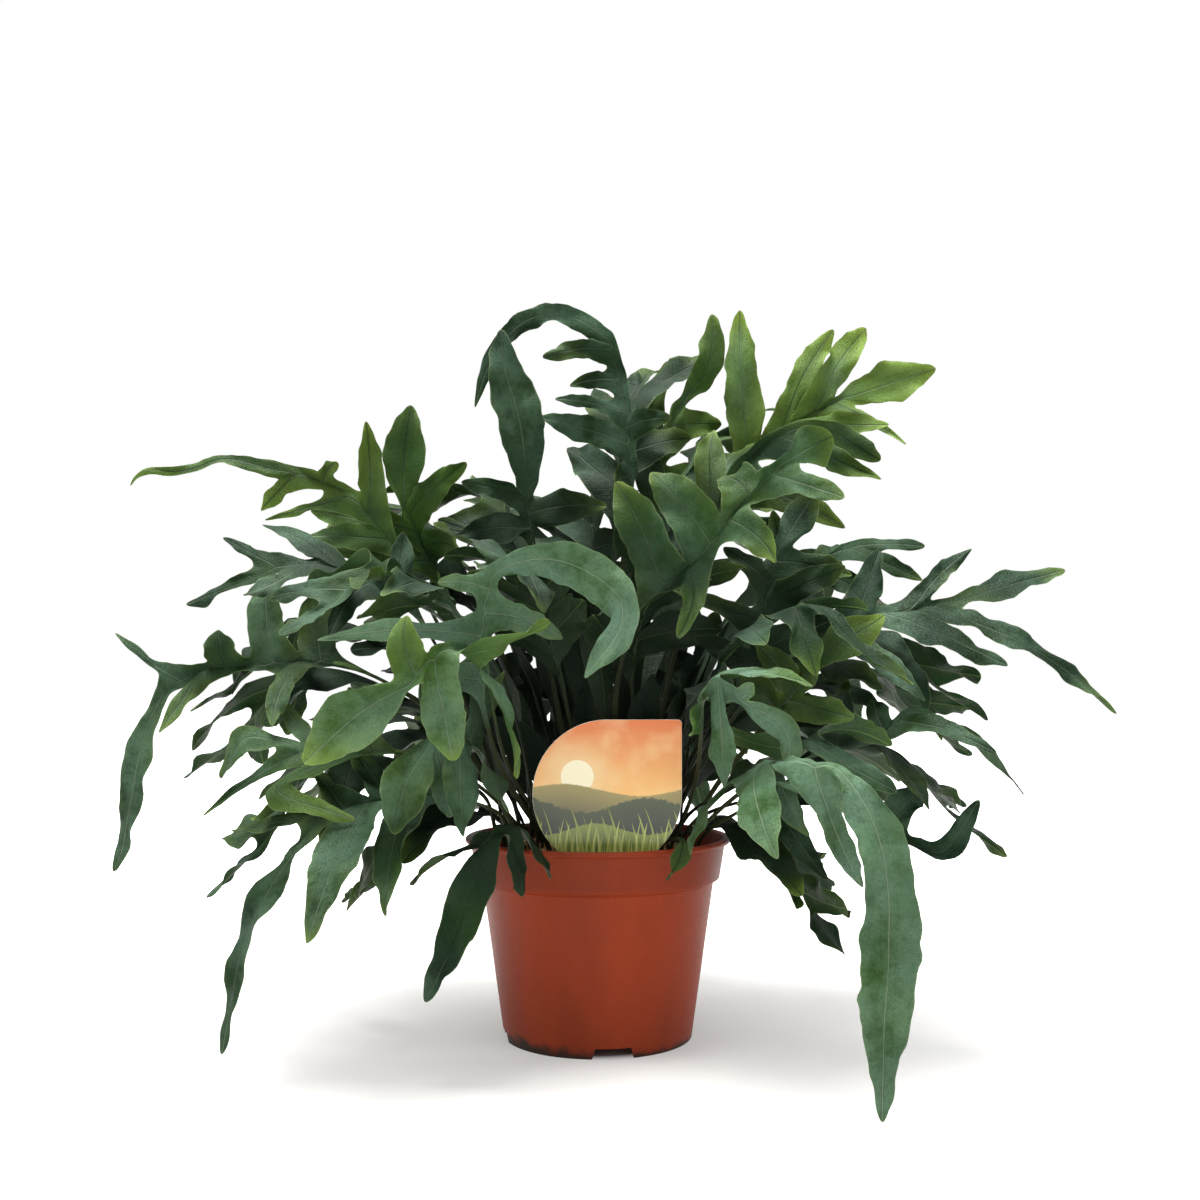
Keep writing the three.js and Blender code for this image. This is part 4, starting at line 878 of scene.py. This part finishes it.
def grow_leaf(ground):
    """A young leaf at a place drawn at random, with its foot a little below the ground."""
    bearing, reach, rise = rng.uniform(*LEAF_PLACES)
    lean, swerve, half_width, tilt = rng.uniform(*LEAF_FORMS)
    out = np.array([math.cos(bearing), math.sin(bearing), 0])
    aside = np.array([-out[1], out[0], 0])
    foot = out * reach + np.array([0, 0, ground - FOOT_DEPTH])
    tip = foot + out * lean + aside * swerve + np.array([0, 0, rise])
    way = 1 if rng.random() < FACING_OUT else -1
    face = unit(out * way + np.array([swerve * TWIST, 0, tilt]))
    return young_leaf(foot, tip, face, half_width)


def grid_faces(grid):
    """Two triangles for each four neighbours in a grid of point numbers."""
    a, b = grid[:-1, :-1].ravel(), grid[:-1, 1:].ravel()
    c, d = grid[1:, 1:].ravel(), grid[1:, :-1].ravel()
    return np.concatenate([np.column_stack((a, b, c)), np.column_stack((a, c, d))])


def stands_clear(points, tree, others):
    """Whether a leaf has room among the fronds in the tree and the other young leaves."""
    if points[:, 1].min() <= YOUNG_FRONT or min(tree.find(p)[2] for p in points) <= YOUNG_ROOM:
        return False
    gaps = (np.linalg.norm(points[:, None] - other, axis=2).min() for other in others)
    return all(gap > YOUNG_ROOM for gap in gaps)


def dress_heart(foliage, materials):
    """Young leaves that stand among the stalks, each one clear of the fronds and of the others."""
    half_space, top = YOUNG_SPACE
    near = foliage[(np.abs(foliage[:, :2]) < half_space).all(1) & (foliage[:, 2] < top)]
    tree = KDTree(len(near))
    for index, point in enumerate(near):
        tree.insert(point, index)
    tree.balance()
    _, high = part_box("soil")
    leaves, rows = [], []
    for _ in range(YOUNG_TRIES):
        points, row = grow_leaf(high.z)
        if stands_clear(points, tree, leaves):
            leaves.append(points)
            rows.append(row)
        if len(leaves) == YOUNG_LEAVES:
            break
    cells = np.arange(LEAF_STEPS * LEAF_WIDTH).reshape(LEAF_STEPS, LEAF_WIDTH)
    faces = np.concatenate([grid_faces(cells + cells.size * i) for i in range(len(leaves))])
    sheet = (np.concatenate(leaves), faces)
    *measures, stalk = np.concatenate(rows).T
    section = (YOUNG_STALK, YOUNG_STALK * RIDGE_SHARE, stalk)
    moods = np.tile(YOUNG_MOOD, (len(stalk), 1)).T
    make_blades("young_leaves", None, materials, sheet, measures, section, (moods, stalk))


# Pot


def arc(centre, radius, start, end, steps):
    """Points on an arc of a profile, by angle in degrees from outward to up."""
    angles = np.radians(np.linspace(start, end, steps))
    return [(centre[0] + radius * math.cos(a), centre[1] + radius * math.sin(a)) for a in angles]


def round_ring(radius, height, sides):
    return [(x, y, height) for x, y in arc((0, 0), radius, 0, 360 - 360 / sides, sides)]


def lofted(rings):
    """A closed solid through rings of as many points each. Its first face is the first ring."""
    count = len(rings[0])
    points = [point for ring in rings for point in ring]
    last = len(points) - count
    faces = [tuple(range(count))]
    for start in range(0, last, count):
        for i in range(count):
            a, b = start + i, start + (i + 1) % count
            faces.append((b, a, a + count, b + count))
    faces.append(tuple(reversed(range(last, len(points)))))
    return points, faces


def applied(obj, name):
    """The mesh of an object with its modifiers applied; the object itself is removed."""
    graph = bpy.context.evaluated_depsgraph_get()
    mesh = bpy.data.meshes.new_from_object(obj.evaluated_get(graph))
    mesh.name = name
    bpy.data.objects.remove(obj)
    return mesh


POT_SIDES = 144
POT_SHARP_ANGLE = 35
WALL = 1.6 * MM

# Inward from the rim: top and foot of the collar, top of the body, and foot
COLLAR_TOP_IN = 3.5 * MM
COLLAR_FOOT_IN = 7 * MM
BODY_IN = 11 * MM
FOOT_IN = 25 * MM

# Heights: of the collar, the lip, the floor and the slope below the collar
COLLAR_DEPTH = 25 * MM
LIP_DEPTH = 4.2 * MM
FLOOR_UP = 7 * MM
STEP_SLOPE = 3 * MM

# The flat pad in the middle, the foot ring and the radii of the edges
PAD_FLAT = 14 * MM
PAD_EDGE = 1 * MM
RING_WIDTH = 3 * MM
RING_EDGE = 0.6 * MM
FOOT_EDGE = 0.8 * MM
STEP_EDGE = 1 * MM
LIP_EDGE = 1.7 * MM
LIP_BACK_EDGE = 1 * MM

# Notches in the foot ring, wider at the ground
NOTCHES = 4
NOTCH_TURN = 9
NOTCH_WIDTH = 26 * MM
NOTCH_TAPER = 2 * MM
NOTCH_HEIGHT = 6.5 * MM
NOTCH_OUT = 3 * MM
NOTCH_IN = 8 * MM

# Drain holes, in a circle about the pad
DRAINS = 6
DRAIN_SIDES = 24
DRAIN_RADIUS = 4 * MM
DRAIN_CIRCLE = 36 * MM
DRAIN_BELOW = 3 * MM
DRAIN_ABOVE = 5 * MM


def pot_profile(rim, foot, height):
    """The pot's section: from the pad along the underside, up the outside and down the inside."""
    collar_top, collar_foot, body_top = rim - COLLAR_TOP_IN, rim - COLLAR_FOOT_IN, rim - BODY_IN
    step = height - COLLAR_DEPTH
    pad, ring = PAD_FLAT + PAD_EDGE, foot - RING_WIDTH
    profile = arc((PAD_FLAT, PAD_EDGE), PAD_EDGE, -90, 0, 4)
    profile += [(pad, FLOOR_UP), (ring, FLOOR_UP), (ring, RING_EDGE)]
    profile += arc((ring + RING_EDGE, RING_EDGE), RING_EDGE, 180, 270, 4)
    profile += arc((foot - FOOT_EDGE, FOOT_EDGE), FOOT_EDGE, -90, -6, 5)
    profile += [(body_top, step - STEP_SLOPE)]
    profile += arc((collar_foot - STEP_EDGE, step), STEP_EDGE, -70, 10, 6)
    profile += [(collar_top, height - LIP_DEPTH)]
    profile += arc((rim - LIP_EDGE, height - 1.9 * MM), LIP_EDGE, -60, 90, 9)
    profile += arc((collar_top - 0.2 * MM, height - 1.2 * MM), LIP_BACK_EDGE, 90, 180, 5)
    profile += [(collar_top - WALL, height - 5 * MM), (collar_foot - WALL, step + 1 * MM)]
    profile += [(body_top - WALL, step - 2 * MM), (foot - WALL, FLOOR_UP + 4 * MM)]
    return profile + [(foot - 4 * MM, FLOOR_UP + WALL)]


def notch_cutter(foot, turn):
    angle = math.radians(NOTCH_TURN + turn)
    wide, narrow = NOTCH_WIDTH / 2, NOTCH_WIDTH / 2 - NOTCH_TAPER
    section = [(-wide, -MM), (wide, -MM), (narrow, NOTCH_HEIGHT), (-narrow, NOTCH_HEIGHT)]
    c, s = math.cos(angle), math.sin(angle)
    ends = (-(foot + NOTCH_OUT), -(foot - NOTCH_IN))
    rings = [[(x * c - y * s, x * s + y * c, z) for x, z in section] for y in ends]
    return new_object("notch", *lofted(rings))


def drain_cutter(angle):
    x, y = DRAIN_CIRCLE * math.cos(angle), DRAIN_CIRCLE * math.sin(angle)
    ring = arc((x, y), DRAIN_RADIUS, 0, 360 - 360 / DRAIN_SIDES, DRAIN_SIDES)
    ends = (FLOOR_UP + DRAIN_ABOVE, FLOOR_UP - DRAIN_BELOW)
    return new_object("drain", *lofted([[(x, y, z) for x, y in ring] for z in ends]))


def dress_pot(material):
    _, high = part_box("pot")
    foot = high.x - FOOT_IN
    profile = pot_profile(high.x, foot, high.z)
    rings = [round_ring(radius, height, POT_SIDES) for radius, height in reversed(profile)]
    pot = new_object("pot_blank", *lofted(rings))
    cutters = [notch_cutter(foot, 360 / NOTCHES * i) for i in range(NOTCHES)]
    cutters += [drain_cutter(2 * math.pi * (i + 0.5) / DRAINS) for i in range(DRAINS)]
    for cutter in cutters:
        cut = pot.modifiers.new("cut", "BOOLEAN")
        cut.operation = "DIFFERENCE"
        cut.solver = "EXACT"
        cut.object = cutter
    mesh = applied(pot, "pot_shell")
    for cutter in cutters:
        bpy.data.objects.remove(cutter)
    mesh.materials.clear()
    make_piece(mesh, "pot", [material])
    mesh.set_sharp_from_angle(angle=math.radians(POT_SHARP_ANGLE))


# Soil, with crumbs, bark and perlite

SOIL_RINGS = 44
SOIL_SIDES = 132
SOIL_SHARP_ANGLE = 50

# How the bed sits in the CAD soil's box: lower, narrower and crowned
SOIL_SINK = 1.6 * MM
SOIL_GAP = 0.2 * MM
SOIL_CROWN = 1.5 * MM

# Bumps of the bed: wavelength in metres and height
SOIL_BUMPS = ((0.022, 1.3 * MM), (0.007, 0.7 * MM), (0.003, 0.35 * MM))

# The bed's side, inward from the edge and down, and its base, inward and up
SOIL_SIDE = ((2.4 * MM, 10 * MM), (6.4 * MM, 16 * MM))
SOIL_BASE = (20.4 * MM, 4 * MM)

# Crumbs, bark and perlite: count, least and most size in mm, grain and flatness
LUMPS = ((1100, 0.9, 3.0, 0.0, 0.8), (150, 3.0, 7.5, 0.5, 0.35), (70, 1.5, 3.2, 1.0, 0.9))
LUMP_REACH = 0.97
LUMP_RISE = 0.15
LUMP_TILT = 0.5


def swells(layers):
    """A sum of smooth noises in space, each with a wavelength and a height."""
    fields = [(Swell(wavelength), height) for wavelength, height in layers]

    def total(points):
        return sum(field(points)[:, 0] * height for field, height in fields)

    return total


def lump():
    """A twelve-cornered lump, about one unit across."""
    shape = bmesh.new()
    bmesh.ops.create_icosphere(shape, subdivisions=1, radius=0.5)
    points = np.array([v.co for v in shape.verts])
    faces = np.array([[v.index for v in f.verts] for f in shape.faces])
    shape.free()
    return points, faces


def turn_about(axis, angle):
    """A rotation, for points in rows."""
    return np.array(Matrix.Rotation(angle, 3, Vector(axis))).T


def soil_bed(level, radius, low, high):
    """The bed's points and faces: a round top at the given level, a side and a flat base."""
    shares = np.linspace(0, 1, SOIL_RINGS)[1:]
    angles = np.linspace(0, 2 * math.pi, SOIL_SIDES, endpoint=False)
    x = np.concatenate([[0], np.outer(shares, np.cos(angles)).ravel() * radius])
    y = np.concatenate([[0], np.outer(shares, np.sin(angles)).ravel() * radius])
    points = [np.column_stack((x, y, level(x, y)))]
    below = [(inward, high.z - drop) for inward, drop in SOIL_SIDE]
    below.append((SOIL_BASE[0], low.z + SOIL_BASE[1]))
    for inward, height in below:
        points.append(np.array(round_ring(radius - inward, height, SOIL_SIDES)))
    rings = np.arange((len(shares) + len(below)) * SOIL_SIDES).reshape(-1, SOIL_SIDES) + 1
    closed = np.column_stack((rings, rings[:, 0]))
    faces = [(0, near, far) for near, far in zip(closed[0], closed[0, 1:])]
    faces += grid_faces(closed.T).tolist()
    return points, faces + [rings[-1, ::-1]]


def dress_soil(material):
    low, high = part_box("soil")
    surface = high.z - SOIL_SINK
    radius = high.x - SOIL_GAP
    bumps = swells(SOIL_BUMPS)

    def level(x, y):
        crown = SOIL_CROWN * (1 - (x * x + y * y) / radius**2)
        return surface + crown + bumps(np.column_stack((x, y, np.zeros_like(x))))

    points, faces = soil_bed(level, radius, low, high)
    start = sum(len(part) for part in points)
    grains = [np.zeros(start)]
    corners, sides = lump()
    for count, small, large, grain, flat in LUMPS:
        for _ in range(count):
            away = radius * LUMP_REACH * math.sqrt(rng.uniform())
            bearing = rng.uniform(0, 2 * math.pi)
            cx, cy = away * math.cos(bearing), away * math.sin(bearing)
            size = rng.uniform(small, large) * MM
            stretch = np.array([1, rng.uniform(0.5, 0.9), flat * rng.uniform(0.6, 1)]) * size
            body = corners * rng.uniform(0.75, 1.25, corners.shape) * stretch
            body = body @ turn_about(rng.normal(size=3), rng.uniform(0, LUMP_TILT))
            body = body @ turn_about((0, 0, 1), rng.uniform(0, 6.3))
            cz = level(np.array([cx]), np.array([cy]))[0] + LUMP_RISE * size
            points.append(body + (cx, cy, cz))
            faces += [tuple(f) for f in (sides + start).tolist()]
            grains.append(np.full(len(corners), grain + rng.uniform(-0.1, 0.1)))
            start += len(corners)
    mesh = new_mesh("soil_bed", np.concatenate(points), faces)
    make_piece(mesh, "soil", [material])
    put_grain(mesh, np.concatenate(grains))
    mesh.set_sharp_from_angle(angle=math.radians(SOIL_SHARP_ANGLE))


# Rhizome

RHIZOME_GRAIN = 1.2 * MM

# Knobs of the skin: wavelength in metres and height
RHIZOME_KNOBS = ((0.011, 0.8 * MM), (0.004, 0.35 * MM))

# Scales: count, then length, half width and lift of the tip, from least to most in mm
SCALES = 1600
SCALE_LENGTHS = (1.6, 4.2)
SCALE_HALF_WIDTHS = (0.35, 0.8)
SCALE_LIFTS = (0.8, 2.0)
SCALE_FACES = ((0, 3, 2), (3, 1, 2), (0, 1, 3), (0, 2, 1))


def rhizome_scale(point, normal):
    """A pointed scale that leans over the skin: two points at its base, its tip and its crest."""
    out = unit(normal + rng.normal(size=3) * 0.25)
    lean = unit(np.cross(out, rng.normal(size=3)))
    side = np.cross(out, lean)
    long, wide = rng.uniform(*SCALE_LENGTHS) * MM, rng.uniform(*SCALE_HALF_WIDTHS) * MM
    base = point - out * 0.3 * MM
    tip = base + lean * long + out * rng.uniform(*SCALE_LIFTS) * MM
    crest = base + lean * long * 0.4 + out * 0.9 * MM
    return [base + side * wide, base - side * wide, tip, crest]


def dress_rhizome(material):
    """The CAD branches, remade as one knobbly skin with small pointed scales."""
    copy = linked("rhizome_blank", nodes["rhizome"].data.copy())
    remesh = copy.modifiers.new("skin", "REMESH")
    remesh.mode = "VOXEL"
    remesh.voxel_size = RHIZOME_GRAIN
    mesh = applied(copy, "rhizome_skin")
    points = read_rows(mesh.vertices, "co", 3, np.float32).astype(float)
    normals = np.array([v.normal for v in mesh.vertices])
    faces = [tuple(p.vertices) for p in mesh.polygons]
    points += normals * swells(RHIZOME_KNOBS)(points)[:, None]
    bpy.data.meshes.remove(mesh)
    scales = []
    upward = np.flatnonzero(normals[:, 2] > -0.2)
    for i in rng.choice(upward, SCALES):
        start = len(points) + len(scales)
        scales += rhizome_scale(points[i], normals[i])
        faces += [tuple(start + k for k in f) for f in SCALE_FACES]
    mesh = new_mesh("rhizome_skin", np.concatenate([points, scales]), faces)
    make_piece(mesh, "rhizome", [material])
    put_grain(mesh, np.concatenate([np.zeros(len(points)), rng.uniform(0.3, 1, len(scales))]))


# Card

CORNER_RADIUS = 2.5 * MM
STAKE_HALF = 9 * MM
STAKE_TIP_HALF = 3 * MM
STAKE_POINT = 10 * MM
CARD_BEVEL = 0.15 * MM


def dress_card(front, back):
    """A thin plate, round but for one square corner, printed on the front, on a tapering stake."""
    low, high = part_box("plant_card")
    radius = (high.x - low.x) / 2
    cx, cz = (low.x + high.x) / 2, high.z - radius
    neck = math.degrees(math.asin(STAKE_HALF / radius))
    outline = arc((high.x - CORNER_RADIUS, high.z - CORNER_RADIUS), CORNER_RADIUS, 0, 90, 6)
    outline += arc((cx, cz), radius, 90, 270 - neck, 60)
    outline += [(cx - STAKE_TIP_HALF, low.z + STAKE_POINT), (cx, low.z)]
    outline += [(cx + STAKE_TIP_HALF, low.z + STAKE_POINT)]
    outline += arc((cx, cz), radius, 270 + neck, 360, 34)
    flat = np.array(outline)
    inner = flat - unit(flat - (cx, cz)) * CARD_BEVEL
    layers = [(inner, low.y), (flat, low.y + CARD_BEVEL), (flat, high.y - CARD_BEVEL), (inner, high.y)]
    points, faces = lofted([[(x, y, z) for x, z in ring] for ring, y in layers])
    mesh = new_mesh("plant_card_plate", points, faces)
    make_piece(mesh, "plant_card", [back, front], smooth=False)
    mesh.polygons[0].material_index = 1


# Stage

WHITE = (1, 1, 1, 1)

# The floor glows as painted light: a little about the pot, more farther away, and not at all under it
FLOOR_RADIUS = 9
FLOOR_SIDES = 64
# Less glow and darker paint near the pot are painted shade there, and no glow under it paints shade
# below the pot
FLOOR_SHADED_NEAR = "b8b6b2"
FLOOR_FAR = "fbfbfb"
FLOOR_FADE = (0.45, 1.1)
POT_SHADE_FADE = (0.05, 0.22)
UNDER_POT_SHADE = (0.050, 0.058)
FLOOR_GLOW = 0.32
FLOOR_GLOW_MID = 0.28
FLOOR_GLOW_FAR = 0.23

SURROUND = 1.0
CEILING = 0.2
CEILING_FADE = (0.5, 0.78)
KEY_PLACE = (-0.25, 0.05, 2.2)
KEY_AIM = (0, 0, 0.22)
KEY_SIZE = 1.5
KEY_POWER = 150

# The camera was worked out from the ellipses of the pot's rim and foot in the photograph
PHOTO_PIXELS = 1200
FOCAL_PIXELS = 1446
CAMERA_PLACE = (0.0013, -0.930, 0.240)
CAMERA_PITCH = 0.039
NEAREST_SEEN = 0.05
SENSOR_MM = 36


def make_floor():
    rim = round_ring(FLOOR_RADIUS, 0, FLOOR_SIDES)
    floor = new_object("floor", rim, [range(FLOOR_SIDES)])
    paint = Surface("floor_painted_light", Roughness=0.9, Specular_IOR_Level=0.1, Emission_Color=WHITE)
    x, y, _ = paint.position()
    distance = (x * x + y * y).math("SQRT")
    away = distance.between(*FLOOR_FADE)
    painted_glow = away * FLOOR_GLOW_FAR + distance.between(*POT_SHADE_FADE) * FLOOR_GLOW_MID + FLOOR_GLOW
    # Painted light from the floor's glow, cut to none under the pot as painted shade
    paint.link((painted_glow * distance.between(*UNDER_POT_SHADE)).socket, "Emission Strength")
    # Painted shade: the floor's paint darker near the pot
    paint.colour = paint.blend(away, FLOOR_SHADED_NEAR, FLOOR_FAR)
    floor.data.materials.append(paint.finish())


def make_surround():
    """A soft white surround, darker overhead, and one large soft light."""
    world = bpy.data.worlds.new("studio")
    world.use_nodes = True
    links, make = world.node_tree.links, world.node_tree.nodes.new
    heading, parts = make("ShaderNodeTexCoord"), make("ShaderNodeSeparateXYZ")
    fade = make("ShaderNodeMapRange")
    links.new(heading.outputs["Generated"], parts.inputs[0])
    links.new(parts.outputs["Z"], fade.inputs["Value"])
    for entry, value in zip(fade.inputs[1:5], (*CEILING_FADE, SURROUND, CEILING)):
        entry.default_value = value
    background = world.node_tree.nodes["Background"]
    links.new(fade.outputs[0], background.inputs["Strength"])
    background.inputs["Color"].default_value = WHITE
    bpy.context.scene.world = world

    light = bpy.data.lights.new("key", "AREA")
    light.shape = "DISK"
    light.size = KEY_SIZE
    light.energy = KEY_POWER
    lamp = linked("key", light)
    lamp.location = KEY_PLACE
    lamp.rotation_euler = (Vector(KEY_AIM) - Vector(KEY_PLACE)).to_track_quat("-Z", "Y").to_euler()


def make_camera():
    camera = bpy.data.cameras.new("camera")
    camera.sensor_width = SENSOR_MM
    camera.lens = FOCAL_PIXELS / PHOTO_PIXELS * SENSOR_MM
    camera.clip_start = NEAREST_SEEN
    eye = linked("camera", camera)
    eye.location = CAMERA_PLACE
    eye.rotation_euler = (math.pi / 2 + CAMERA_PITCH, 0, 0)
    bpy.context.scene.camera = eye
    bpy.context.scene.view_settings.view_transform = "Standard"


dress_fronds()
dress_pot(pot_finish())
dress_soil(soil_finish())
dress_rhizome(rhizome_finish())
dress_card(card_front(), card_back())
make_floor()
make_surround()
make_camera()
